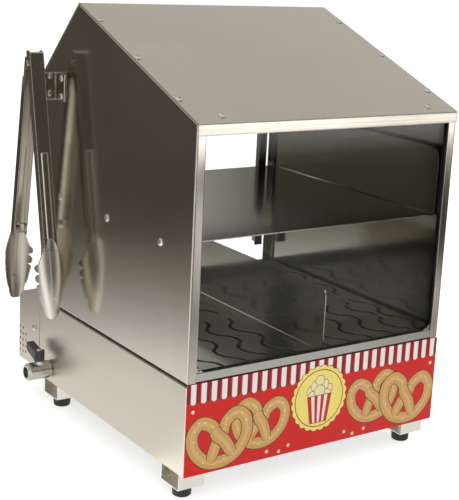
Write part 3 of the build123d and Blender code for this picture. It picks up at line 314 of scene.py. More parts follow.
@dataclass(frozen=True)
class PrintInk(Surface):
    """Glossy printed film: one flat ink under a clear, slightly uneven coat."""

    DOT_SCALE: ClassVar[float] = 1500.0
    SHEEN_SCALE: ClassVar[float] = 25.0
    SPECULAR: ClassVar[float] = 0.30

    def shade(self, tree: Tree, place: Socket) -> dict[str, object]:
        """Returns the shader's inputs."""
        dots = tree.noise(place, self.DOT_SCALE, 1.0)
        sheen = tree.noise(place, self.SHEEN_SCALE, 2.0)
        tone = tree.ramp(dots, [(0.3, darker(self.colour, 0.93)), (0.7, self.colour)])
        return {"Specular IOR Level": self.SPECULAR, "Base Color": tone,
                "Roughness": tree.vary(sheen, 0.28, 0.38)}


@dataclass(frozen=True)
class Pane(Surface):
    """Thin toughened glass, almost neutral, with faint wipe marks."""

    WIPE_SCALE: ClassVar[float] = 9.0
    REFRACTION: ClassVar[float] = 1.24

    def shade(self, tree: Tree, place: Socket) -> dict[str, object]:
        """Returns the shader's inputs."""
        wipe = tree.noise(place, self.WIPE_SCALE, 3.0, distortion=1.0)
        return {"Base Color": (*self.colour, 1.0), "Transmission Weight": 1.0,
                "IOR": self.REFRACTION, "Roughness": tree.span(wipe, 0.4, 0.8, 0.0, 0.02)}


class Finish(Enum):
    """Finishes of the steamer, by what they are used on."""

    ROOF = SheetSteel("roof_steel", (0.60, 0.555, 0.485), 0.19, Grain.ALONG_X, edge=1.5 * MM)
    SIDE = SheetSteel("side_steel", (0.60, 0.56, 0.49), 0.11, Grain.ALONG_Z, 0.03, 0.05,
                      1.5 * MM)
    BASE = SheetSteel("base_steel", (0.66, 0.605, 0.52), 0.33, Grain.ALONG_Y)
    TRIM = SheetSteel("trim_steel", (0.76, 0.73, 0.67), 0.24, Grain.ALONG_X, 0.02, 0.05)
    SILL = SheetSteel("sill_steel", (0.52, 0.51, 0.47), 0.22, Grain.ALONG_X, 0.02, 0.04,
                      0.5 * MM, 0.03)
    INNER = SheetSteel("inner_steel", (0.58, 0.56, 0.48), 0.12, Grain.ALONG_Y, 0.02, 0.04,
                       0.25 * MM, 0.05)
    # Water pan steel with its colour darkened: painted shade inside the pan.
    PAN = SheetSteel("pan_painted_shade_steel", (0.24, 0.22, 0.19), 0.42, Grain.ALONG_X)
    HOOK = SheetSteel("hook_steel", (0.64, 0.60, 0.53), 0.12, Grain.ALONG_Z, 0.01, 0.03,
                      2.2 * MM, 0.04)
    TONGS = SheetSteel("tongs_steel", (0.66, 0.63, 0.57), 0.13, Grain.ALONG_Z, 0.01, 0.03,
                       1.5 * MM, 0.04, 0.214)
    # Darker copy of the tongs' steel for the rear arm: painted shade on its inner side.
    TONGS_SHADE = SheetSteel("tongs_painted_shade_steel", (0.46, 0.43, 0.37), 0.13, Grain.ALONG_Z, 0.01,
                             0.03, 1.5 * MM, 0.04, 0.214)
    SCREW = TurnedMetal("screw_steel", (0.84, 0.82, 0.78), 0.32)
    NICKEL = TurnedMetal("nickel_plate", (0.58, 0.57, 0.54), 0.24, 90.0, 0.02)
    SHEATH = TurnedMetal("heater_sheath", (0.16, 0.15, 0.14), 0.45, 250.0)
    RUBBER = Moulding("black_rubber", (0.018, 0.018, 0.018), 0.62, 500.0, 0.25)
    BLACK = Moulding("black_plastic", (0.022, 0.022, 0.022), 0.38)
    GREY = Moulding("grey_plastic", (0.32, 0.32, 0.31), 0.45)
    LENS = Moulding("amber_lens", (0.80, 0.18, 0.02), 0.15, 900.0, 0.02)
    INK = PrintInk("ink_black", (0.015, 0.015, 0.015))
    GLASS = Pane("pane_glass", (0.970, 0.985, 0.975))
    RED = PrintInk("ink_red", (0.66, 0.014, 0.012))
    MAROON = PrintInk("ink_maroon", (0.26, 0.008, 0.020))
    WHITE = PrintInk("ink_white", (0.86, 0.84, 0.80))
    YELLOW = PrintInk("ink_yellow", (0.93, 0.76, 0.20))
    CREAM = PrintInk("ink_cream", (0.88, 0.76, 0.42))
    TAN = PrintInk("ink_tan", (0.62, 0.36, 0.125))
    CRUST = PrintInk("ink_crust", (0.70, 0.44, 0.18))
    BROWN = PrintInk("ink_brown", (0.16, 0.045, 0.012))


class Workshop:
    """Makes each finish once and puts finishes and bodies on pieces."""

    def __init__(self, frame: dict) -> None:
        """Keeps the frame.
        """
        self.frame = frame
        self.made: dict[Finish, bpy.types.Material] = {}

    def material(self, finish: Finish) -> bpy.types.Material:
        """Returns a finish's material, made on first use."""
        if finish not in self.made:
            self.made[finish] = finish.value.build()
        return self.made[finish]

    def coat(self, finish: Finish, *nodes: str) -> None:
        """Gives CAD nodes a finish.

        Args:
            finish: The finish.
            *nodes: Names of the nodes.
        """
        for name in nodes:
            mesh = self.frame["nodes"][name].data
            mesh.materials.clear()
            mesh.materials.append(self.material(finish))
        LOG.info("%s on %s", finish.name.lower(), ", ".join(nodes))

    def piece(self, name: str, mesh: bpy.types.Mesh, body: str, slot: str,
              finish: Finish | None = None, replaces: tuple[str, ...] = ()) -> bpy.types.Object:
        """Puts a finished mesh in the scene as a piece.

        Args:
            name: Name of the piece.
            mesh: Its mesh, in metres, in the model's frame.
            body: Body that it rides on.
            slot: Material slot of the record; not used.
            finish: Finish of the whole piece, if it has one.
            replaces: CAD nodes that it stands for.

        Returns:
            The new object.
        """
        if finish is not None:
            mesh.materials.clear()
            mesh.materials.append(self.material(finish))
        made = new_object(name, mesh)
        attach(made, body)
        if replaces:
            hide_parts(*replaces)
        LOG.info("%s: %d faces on %s", name, len(mesh.polygons), body)
        return made


# ---------------------------------------------------------------- studio
@dataclass
class Studio:
    """Floor, light and camera of a plain product table."""

    camera_at: Place = (-0.7706, -1.1149, 0.5620)
    look: Place = (0.5786, 0.7841, -0.2244)
    right: Place = (0.8110, -0.5824, 0.0558)
    lens: float = 87.07
    shift: Point = (-0.0906, -0.0615)
    aim: Place = (0.0, 0.0, 0.22)
    floor_radius: float = 6.0
    floor_drop: float = 0.0002
    wall_to_ceiling: Point = (0.32, 0.50)
    ahead: Point = (0.15, 0.40)
    card_side: Point = (0.55, 0.85)
    card_front: Point = (-0.45, -0.65)
    strip_side: Point = (0.50, 0.96)
    strip_front: Point = (-1.75, -2.05)
    sheet_start: Point = (-2.50, -2.30)
    sheet_end: Point = (-1.85, -1.65)
    LAMPS: ClassVar[tuple[tuple[str, Place, float, float], ...]] = (
        ("key_light", (-1.6, -1.9, 2.3), 1.8, 26.0), ("fill_light", (2.2, -1.2, 1.6), 1.8, 14.0),
        ("top_light", (0.2, 0.6, 2.6), 2.2, 22.0))
    WALLS: ClassVar[Stops] = [
        (0.00, (0.12, 0.11, 0.10)), (0.10, (0.10, 0.09, 0.08)), (0.14, (1.30, 1.29, 1.26)),
        (0.20, (1.30, 1.29, 1.26)), (0.24, (0.10, 0.09, 0.08)), (0.30, (0.06, 0.055, 0.045)),
        (0.46, (0.09, 0.08, 0.065)), (0.56, (0.38, 0.37, 0.35)), (0.588, (0.38, 0.37, 0.35)),
        (0.602, (0.14, 0.13, 0.11)), (0.70, (0.18, 0.17, 0.14)), (0.80, (0.40, 0.39, 0.37)),
        (0.86, (0.16, 0.15, 0.13)), (0.96, (0.12, 0.11, 0.10))]
    CEILING: ClassVar[Stops] = [
        (0.0, (0.80, 0.79, 0.76)), (0.50, (0.78, 0.77, 0.74)), (0.62, (0.62, 0.61, 0.59)),
        (0.85, (0.72, 0.71, 0.69)), (1.0, (0.76, 0.75, 0.73))]
    TABLE: ClassVar[Stops] = [
        (0.205, (1.0, 0.99, 0.97)), (0.275, (0.62, 0.62, 0.61)), (0.335, (0.42, 0.41, 0.39)),
        (0.415, (0.25, 0.24, 0.21)), (0.55, (0.11, 0.10, 0.085)), (0.78, (0.08, 0.072, 0.055)),
        (1.0, (0.09, 0.082, 0.065))]

    def build(self) -> None:
        """Makes the world, floor, lamps and camera."""
        self.camera()
        self.world()
        self.floor()
        for lamp in self.LAMPS:
            self.lamp(*lamp)
        bpy.context.scene.view_settings.view_transform = "Standard"

    def camera(self) -> None:
        """Makes the camera."""
        data = bpy.data.cameras.new("camera")
        data.sensor_width = 36.0
        data.lens = self.lens
        data.shift_x, data.shift_y = self.shift
        data.clip_start, data.clip_end = 0.01, 100.0
        eye = new_object("camera", data)
        back = -Vector(self.look).normalized()
        right = Vector(self.right)
        right = (right - right.dot(back) * back).normalized()
        up = back.cross(right)
        turn = Matrix((right, up, back)).transposed()
        eye.rotation_mode = "QUATERNION"
        eye.rotation_quaternion = turn.to_quaternion()
        eye.location = self.camera_at
        bpy.context.scene.camera = eye

    def world(self) -> None:
        """Makes a studio round the object: white behind it, dim behind the camera."""
        world = bpy.data.worlds.new("studio")
        tree = clear_tree(world)
        bpy.context.scene.world = world
        way = tree.axes(tree.add("ShaderNodeTexCoord").outputs["Generated"])
        side = tree.span(tree.math("ARCTAN2", way[0], way[1]), -math.pi, math.pi, 0.0, 1.0)
        walls = tree.ramp(side, self.WALLS)
        height = tree.math("MAXIMUM", way[2], 0.0)
        ceiling = tree.ramp(height, self.CEILING)
        rise = tree.span(height, *self.wall_to_ceiling, 0.0, 1.0)
        room = tree.blend(rise, walls, ceiling)
        mirrored, scattered = self.bounces(tree)
        seen = tree.blend(mirrored, (1.0, 1.0, 1.0, 1.0), room)
        soft = tree.blend(scattered, seen, (0.62, 0.62, 0.61, 1.0))
        light = tree.out("ShaderNodeBackground", {"Color": soft, "Strength": 1.0})
        tree.add("ShaderNodeOutputWorld", {"Surface": light})

    def bounces(self, tree: Tree) -> tuple[Socket, Socket]:
        """Tells how a ray reached the studio.

        Args:
            tree: Tree of the world or the floor.

        Returns:
            Sockets that are 1 where the ray came off steel, and off a rough surface.
        """
        path = tree.add("ShaderNodeLightPath").outputs
        return (tree.math("GREATER_THAN", path["Glossy Depth"], 0.5),
                tree.math("GREATER_THAN", path["Diffuse Depth"], 0.5))

    def floor(self) -> None:
        """Makes the pale table top, white round the object and dimmer in reflections far out."""
        mesh = bpy.data.meshes.new("floor")
        shape = bmesh.new()
        bmesh.ops.create_circle(shape, cap_ends=True, segments=96, radius=self.floor_radius)
        bmesh.ops.translate(shape, verts=shape.verts, vec=(0, 0, -self.floor_drop))
        shape.to_mesh(mesh)
        shape.free()
        floor = new_object("floor", mesh)
        material = bpy.data.materials.new("floor")
        tree = clear_tree(material)
        mirrored, scattered = self.bounces(tree)
        paper = tree.out("ShaderNodeBsdfDiffuse", {"Color": (0.80, 0.80, 0.79, 1.0)})
        shaded = tree.out("ShaderNodeBsdfDiffuse", {"Color": (0.56, 0.56, 0.56, 1.0)})
        glow = tree.out("ShaderNodeEmission", {"Color": (1.0, 1.0, 1.0, 1.0), "Strength": 0.70})
        white = tree.out("ShaderNodeAddShader", {0: shaded, 1: glow})
        mirror = tree.out("ShaderNodeEmission", {"Color": self.table_mirror(tree)})
        seen = tree.out("ShaderNodeMixShader", {0: mirrored, 1: white, 2: mirror})
        both = tree.out("ShaderNodeMixShader", {0: scattered, 1: seen, 2: paper})
        tree.add("ShaderNodeOutputMaterial", {"Surface": both})
        mesh.materials.append(material)

    def table_mirror(self, tree: Tree) -> Socket:
        """Works out how bright the table looks in polished steel.

        The table is white round the object and falls off to the dark room. A light card lies in
        front of the object with a bright strip beyond it, and a bright sheet lies at the left.

        Args:
            tree: Tree of the floor's material.

        Returns:
            The colour socket.
        """
        place = tree.place()
        away = tree.add("ShaderNodeVectorMath", {0: place}, operation="LENGTH").outputs["Value"]
        x, y, _ = tree.axes(place)
        near = tree.ramp(tree.math("MULTIPLY", away, 0.5), self.TABLE, smooth=False)
        ratio = tree.math("DIVIDE", x, tree.math("MULTIPLY", y, -1.0))
        card = tree.math("MULTIPLY", tree.span(x, *self.card_side, 1.0, 0.0),
                         tree.span(y, *self.card_front, 0.0, 0.85))
        strip = tree.math("MULTIPLY", tree.span(ratio, *self.strip_side, 3.00, 2.70),
                          tree.span(y, *self.strip_front, 0.0, 1.0))
        front = tree.math("MULTIPLY", tree.span(ratio, *self.ahead, 0.0, 1.0),
                          tree.math("MAXIMUM", card, strip))
        bearing = tree.math("ARCTAN2", x, y)
        left = tree.math("MULTIPLY", tree.span(bearing, *self.sheet_start, 0.0, 1.60),
                         tree.span(bearing, *self.sheet_end, 1.0, 0.0))
        glow = tree.math("MAXIMUM", front, left)
        grey = tree.out("ShaderNodeCombineColor", {0: glow, 1: glow, 2: glow})
        return tree.blend(1.0, near, grey, blend_type="LIGHTEN")

    def lamp(self, name: str, at: Place, size: float, power: float) -> None:
        """Adds a soft lamp that points at the steamer.

        Args:
            name: Name of the lamp.
            at: Where it stands, in metres.
            size: Width of its square face.
            power: Its power in watts.
        """
        data = bpy.data.lights.new(name, "AREA")
        data.size = size
        data.energy = power
        lamp = new_object(name, data)
        lamp.location = at
        lamp.rotation_mode = "QUATERNION"
        lamp.rotation_quaternion = (Vector(self.aim) - Vector(at)).to_track_quat("-Z", "Y")
        lamp.visible_glossy = False


# ---------------------------------------------------------------- sheet-metal and bought parts
@dataclass
class Casing:
    """Casing sheets, trays and fittings that keep their CAD shape and get a finish."""

    workshop: Workshop

    def dress(self) -> None:
        """Puts every kept node's finish on."""
        coat = self.workshop.coat
        corners = [f"{end}_{side}" for end in ("front", "rear") for side in ("left", "right")]
        coat(Finish.ROOF, "roof_cover")
        coat(Finish.SIDE, "left_side_panel", "right_side_panel")
        coat(Finish.BASE, "base_housing", "control_box", "base_plate")
        coat(Finish.SILL, "front_sill", "front_header", "rear_sill", "rear_header", "lower_track",
             "upper_track", "corner_gussets", "door_handle_left", "door_handle_right")
        coat(Finish.HOOK, "tongs_hook")
        coat(Finish.TRIM, *[f"foot_bracket_{corner}" for corner in corners])
        coat(Finish.INNER, "bun_tray", "shelf_rail_left", "shelf_rail_right", "steam_tray",
             "divider")
        coat(Finish.PAN, "water_pan")
        coat(Finish.TONGS, "tongs_front_arm", "tongs_pin", "tongs_spring")
        coat(Finish.TONGS_SHADE, "tongs_rear_arm")
        coat(Finish.SCREW, "foot_screws", "lever_screw", "pan_glands")
        coat(Finish.NICKEL, "valve_body", "valve_ball", "drain_elbow", "drain_nuts")
        coat(Finish.SHEATH, "heating_element", "thermostat_bulb")
        coat(Finish.RUBBER, "rim_gasket", "glass_gasket",
             *[f"rubber_foot_{corner}" for corner in corners])
        coat(Finish.BLACK, "valve_lever", "thermostat_knob", "switch_body", "switch_rocker",
             "cord_gland")
        coat(Finish.GREY, "thermostat", "terminal_block")
        coat(Finish.LENS, "pilot_lamp")
        coat(Finish.GLASS, "front_glass", "rear_door_left", "rear_door_right")
        coat(Finish.RED, "front_graphic")


# ---------------------------------------------------------------- parts that repeat
class Recipe:
    """A Geometry Nodes tree with named sizes that is run once and gives a plain mesh."""

    def __init__(self, name: str) -> None:
        """Starts an empty tree.

        Args:
            name: Name of the tree.
        """
        self.name = name
        self.group = bpy.data.node_groups.new(name, "GeometryNodeTree")
        self.values: dict[str, object] = {}
        self.tree = Tree(self.group)
        for side in ("INPUT", "OUTPUT"):
            self.group.interface.new_socket("Geometry", in_out=side,
                                            socket_type="NodeSocketGeometry")
        self.start = self.tree.add("NodeGroupInput")
        self.end = self.tree.add("NodeGroupOutput")

    def size(self, name: str, value: object, kind: str = "Float") -> Socket:
        """Adds a named input.

        Args:
            name: Name of the input.
            value: Its value.
            kind: Float, Int or Material.

        Returns:
            The socket that gives the value inside the tree.
        """
        socket = self.group.interface.new_socket(name, in_out="INPUT",
                                                 socket_type=f"NodeSocket{kind}")
        self.values[socket.identifier] = value
        return self.start.outputs[name]

    def join(self, *parts: Socket) -> Socket:
        """Joins geometry and returns it."""
        node = self.tree.add("GeometryNodeJoinGeometry")
        for part in parts:
            self.tree.tree.links.new(part, node.inputs[0])
        return node.outputs[0]

    def place(self, shape: Socket, move: tuple | Socket = (0, 0, 0),
              turn: tuple = (0, 0, 0)) -> Socket:
        """Moves and turns geometry and returns it."""
        return self.tree.out("GeometryNodeTransform", {
            "Geometry": shape, "Translation": move, "Rotation": turn})

    def coat(self, shape: Socket, name: str,
             material: bpy.types.Material) -> Socket:
        """Realizes instances, sets a material and returns the geometry."""
        real = self.tree.out("GeometryNodeRealizeInstances", {0: shape})
        return self.tree.out("GeometryNodeSetMaterial", {
            "Geometry": real, "Material": self.size(name, material, "Material")})

    def run(self, shape: Socket,
            start: bpy.types.Mesh | None = None) -> bpy.types.Mesh:
        """Runs the tree.

        Args:
            shape: Final geometry.
            start: Mesh that the tree works on, if it needs one.

        Returns:
            The result as a plain mesh.
        """
        self.tree.tree.links.new(shape, self.end.inputs[0])
        carrier = new_object(self.name, start or bpy.data.meshes.new(self.name))
        modifier = carrier.modifiers.new("recipe", "NODES")
        modifier.node_group = self.group
        for identifier, value in self.values.items():
            modifier[identifier] = value
        graph = bpy.context.evaluated_depsgraph_get()
        mesh = bpy.data.meshes.new_from_object(carrier.evaluated_get(graph), depsgraph=graph)
        carrier.modifiers.clear()
        bpy.data.objects.remove(carrier)
        return mesh


@dataclass
class Fasteners:
    """Cross-recess pan-head screws that hold the casing together."""

    workshop: Workshop
    half_width: float = 167.5
    roof_slope: float = 0.377
    eave: float = 391.5
    front: float = -168.0
    roof_runs: tuple[Point, ...] = ((162.0, 43.5), (162.0, 125.8), (162.0, 208.1), (133.5, 11.0))
    rail_height: float = 263.0
    rail_rows: Place = (-108.0, 4.5, 117.0)
    deck_corner: Place = (162.25, 157.5, 127.5)
    box_side: Point = (182.0, 87.0)
    hook_face: float = -169.0
    hook_row: float = 116.6
    hook_heights: Point = (378.5, 398.5)
    head_height: float = 2.0
    rim_share: float = 0.32
    shank_radius: float = 2.0
    shank_length: float = 5.0
    shank_drop: float = 2.4
    recess_length: float = 4.2
    recess_width: float = 0.95
    recess_depth: float = 2.2
    sharp_angle: float = 0.6

    def seats(self) -> dict[str, tuple[float, list[tuple[Vector, Vector]]]]:
        """Lists the screws' seats.

        Returns:
            Head radius, points and outward directions by CAD node.
        """
        up = Vector((0.0, -self.roof_slope, 1.0)).normalized()
        sides = (-1, 1)
        roof = [(Vector((side * x, self.front + run, self.eave + self.roof_slope * run)), up)
                for side in sides for x, run in self.roof_runs]
        shelf = [(Vector((side * self.half_width, y, self.rail_height)), Vector((side, 0, 0)))
                 for side in sides for y in self.rail_rows]
        x, y, z = self.deck_corner
        deck = [(Vector((side * x, end * y, z)), Vector((0, 0, -1)))
                for side in sides for end in sides]
        box = [(Vector((side * self.half_width, *self.box_side)), Vector((side, 0, 0)))
               for side in sides]
        hook = [(Vector((self.hook_face, self.hook_row, z)), Vector((-1, 0, 0)))
                for z in self.hook_heights]
        return {"roof_screws": (3.6, roof), "shelf_screws": (4.0, shelf),
                "casing_screws": (3.6, deck + box + hook)}

    def build(self) -> None:
        """Makes one piece for each kind of screw."""
        for node, (radius, seats) in self.seats().items():
            mesh = self.screws(node, radius, seats)
            self.workshop.piece(f"{node}_crossed", mesh, "casing", "screw_steel",
                                replaces=(node,))

    def screws(self, name: str, radius: float,
               seats: list[tuple[Vector, Vector]]) -> bpy.types.Mesh:
        """Makes one kind of screw at all its seats.

        Args:
            name: Name of the kind.
            radius: Radius of its head in millimetres.
            seats: Points and outward directions.

        Returns:
            The mesh.
        """
        start = bpy.data.meshes.new(f"{name}_seats")
        start.from_pydata([tuple(point * MM) for point, _ in seats], [], [])
        outward = start.attributes.new("outward", "FLOAT_VECTOR", "POINT")
        outward.data.foreach_set("vector", [v for _, way in seats for v in way])
        recipe = Recipe(name)
        tree = recipe.tree
        head_radius = recipe.size("Head radius", radius * MM)
        height = recipe.size("Head height", self.head_height * MM)
        head = tree.add("GeometryNodeMeshCylinder", {
            "Vertices": 32, "Side Segments": 1, "Fill Segments": 6, "Radius": head_radius,
            "Depth": height}, fill_type="TRIANGLE_FAN").outputs["Mesh"]
        head = self.dome(recipe, head, head_radius, height)
        head = self.cross(recipe, head, height)
        shank = tree.add("GeometryNodeMeshCylinder", {
            "Vertices": 20, "Radius": recipe.size("Shank radius", self.shank_radius * MM),
            "Depth": recipe.size("Shank length", self.shank_length * MM)}).outputs["Mesh"]
        screw = recipe.join(head, recipe.place(shank, (0, 0, -self.shank_drop * MM)))
        way = tree.out("GeometryNodeInputNamedAttribute", {"Name": "outward"},
                       data_type="FLOAT_VECTOR")
        aimed = tree.add("FunctionNodeAlignRotationToVector", {"Vector": way}, axis="Z")
        spin = tree.add("FunctionNodeRandomValue", {
            2: 0.0, 3: math.pi, "Seed": recipe.size("Seed", 5, "Int")}, data_type="FLOAT")
        turned = tree.add("FunctionNodeRotateRotation", {
            0: aimed.outputs[0], 1: tree.vector(z=spin.outputs[1])}, rotation_space="LOCAL")
        placed = tree.out("GeometryNodeInstanceOnPoints", {
            "Points": recipe.start.outputs["Geometry"], "Instance": screw,
            "Rotation": turned.outputs[0]})
        finish = self.workshop.material(Finish.SCREW)
        return recipe.run(recipe.coat(placed, "Finish", finish), start)

    def dome(self, recipe: Recipe, head: Socket, radius: Socket, height: Socket) -> Socket:
        """Stands a cylinder on its base and rounds its top.

        Args:
            recipe: Tree of the screws.
            head: The cylinder, about its middle.
            radius: Its radius.
            height: Height of the finished head.

        Returns:
            The head.
        """
        tree = recipe.tree
        x, y, z = tree.axes(tree.out("GeometryNodeInputPosition"))
        away = tree.add("ShaderNodeVectorMath", {0: tree.vector(x, y)},
                        operation="LENGTH").outputs["Value"]
        share = tree.math("DIVIDE", away, radius, clamp=True)
        squared = tree.math("MULTIPLY", tree.math("MULTIPLY", share, share), 0.995)
        fall = tree.math("SQRT", tree.math("SUBTRACT", 1.0, squared))
        rise = tree.math("ADD", self.rim_share, tree.math("MULTIPLY", fall, 1 - self.rim_share))
        level = tree.math("MULTIPLY", tree.math("MULTIPLY", height, rise),
                          tree.math("GREATER_THAN", z, 0.0))
        return tree.out("GeometryNodeSetPosition", {
            "Geometry": head, "Position": tree.vector(x, y, level)})

    def cross(self, recipe: Recipe, head: Socket, height: Socket) -> Socket:
        """Cuts the driver's cross into a head and shades its round faces smoothly.

        Args:
            recipe: Tree of the screws.
            head: The head.
            height: Its height.

        Returns:
            The cut head.
        """
        tree = recipe.tree
        long = recipe.size("Recess length", self.recess_length * MM)
        narrow = recipe.size("Recess width", self.recess_width * MM)
        deep = recipe.size("Recess depth", self.recess_depth * MM)
        bars = [tree.out("GeometryNodeMeshCube", {"Size": tree.vector(x, y, deep)})
                for x, y in ((long, narrow), (narrow, long))]
        cutter = tree.add("GeometryNodeMeshBoolean", operation="UNION", solver="EXACT")
        for bar in bars:
            tree.tree.links.new(bar, cutter.inputs["Mesh 2"])
        lifted = recipe.place(cutter.outputs[0], tree.vector(z=height))
        cut = tree.out("GeometryNodeMeshBoolean", {"Mesh 1": head, "Mesh 2": lifted},
                       operation="DIFFERENCE", solver="EXACT")
        smooth = tree.add("GeometryNodeSetShadeSmooth", {"Geometry": cut, "Shade Smooth": True})
        angle = tree.out("GeometryNodeInputMeshEdgeAngle")
        sharp = tree.math("GREATER_THAN", angle, self.sharp_angle)
        return tree.out("GeometryNodeSetShadeSmooth", {
            "Geometry": smooth.outputs[0], "Selection": sharp, "Shade Smooth": False},
            domain="EDGE")


# ---------------------------------------------------------------- printed front
def smoothed(points: list[Point], steps: int = 6) -> list[Point]:
    """Runs a Catmull-Rom curve through points.

    Args:
        points: Points that it passes.
        steps: Places between each two points.

    Returns:
        The curve's places.
    """
    ends = [points[0], *points, points[-1]]
    line = []
    for a, b, c, d in zip(ends, ends[1:], ends[2:], ends[3:]):
        for step in range(steps):
            t = step / steps
            line.append(tuple(0.5 * (2 * q + (r - p) * t + (2 * p - 5 * q + 4 * r - w) * t * t
                                     + (3 * q - p - 3 * r + w) * t ** 3)
                              for p, q, r, w in zip(a, b, c, d)))
    return [*line, points[-1]]


def ribbon(line: list[Point], half: float, tips: float = 0.0) -> list[Point]:
    """Gives a line a width.

    Args:
        line: Centre line.
        half: Half of the width.
        tips: Share of the line over which each end is rounded off.

    Returns:
        The closed outline.
    """
    left, right = [], []
    last = len(line) - 1
    for index, (x, z) in enumerate(line):
        before, after = line[max(index - 1, 0)], line[min(index + 1, last)]
        run = math.hypot(after[0] - before[0], after[1] - before[1])
        nx, nz = (before[1] - after[1]) / run, (after[0] - before[0]) / run
        share = min(index, last - index) / last
        wide = half
        if share < tips:
            wide = half * math.sqrt(max(1.0 - (1.0 - share / tips) ** 2, 0.02))
        left.append((x + nx * wide, z + nz * wide))
        right.append((x - nx * wide, z - nz * wide))
    return left + right[::-1]


def disc(centre: Point, radius: float, count: int = 48, scallop: float = 0.0,
         waves: int = 0) -> list[Point]:
    """Outlines a disc whose rim may have waves.

    Args:
        centre: Its middle.
        radius: Its radius in the hollow of a wave.
        count: Corners of the outline.
        scallop: Height of a wave.
        waves: Number of waves.

    Returns:
        The closed outline.
    """
    outline = []
    for index in range(count):
        angle = 2 * math.pi * index / count
        reach = radius + scallop * abs(math.sin(waves * angle / 2))
        outline.append((centre[0] + reach * math.cos(angle), centre[1] + reach * math.sin(angle)))
    return outline


class InkLayers:
    """Thin flat patches of ink on the front film, each a closed slab."""

    STEP: ClassVar[float] = 0.01
    BACKING: ClassVar[float] = 0.1

    def __init__(self, workshop: Workshop, film: float) -> None:
        """Starts an empty print.

        Args:
            workshop: Where the inks come from.
            film: How far forward the film's face lies, in millimetres.
        """
        self.workshop = workshop
        self.film = film
        self.shape = bmesh.new()
        self.inks: list[Finish] = []

    def add(self, outline: list[Point], layer: float, finish: Finish) -> None:
        """Adds a patch.

        Args:
            outline: Its corners in x and z, in millimetres.
            layer: How many hundredths of a millimetre its face stands proud.
            finish: Its ink.
        """
        if finish not in self.inks:
            self.inks.append(finish)
        face, back = self.film - layer * self.STEP, self.film + self.BACKING
        rings = [[self.shape.verts.new((x * MM, y * MM, z * MM)) for x, z in outline]
                 for y in (face, back)]
        made = [self.shape.faces.new(rings[0]), self.shape.faces.new(rings[1][::-1])]
        count = len(outline)
        for index in range(count):
            after = (index + 1) % count
            made.append(self.shape.faces.new((rings[0][after], rings[0][index],
                                              rings[1][index], rings[1][after])))
        bmesh.ops.recalc_face_normals(self.shape, faces=made)
        for part in made:
            part.material_index = self.inks.index(finish)

    def finish(self, name: str) -> None:
        """Puts the print on the casing as one piece.

        Args:
            name: Name of the piece.
        """
        mesh = bpy.data.meshes.new(name)
        bmesh.ops.triangulate(self.shape, faces=[f for f in self.shape.faces if len(f.verts) > 4])
        self.shape.to_mesh(mesh)
        self.shape.free()
        for finish in self.inks:
            mesh.materials.append(self.workshop.material(finish))
        self.workshop.piece(name, mesh, "casing", "printed_panel")


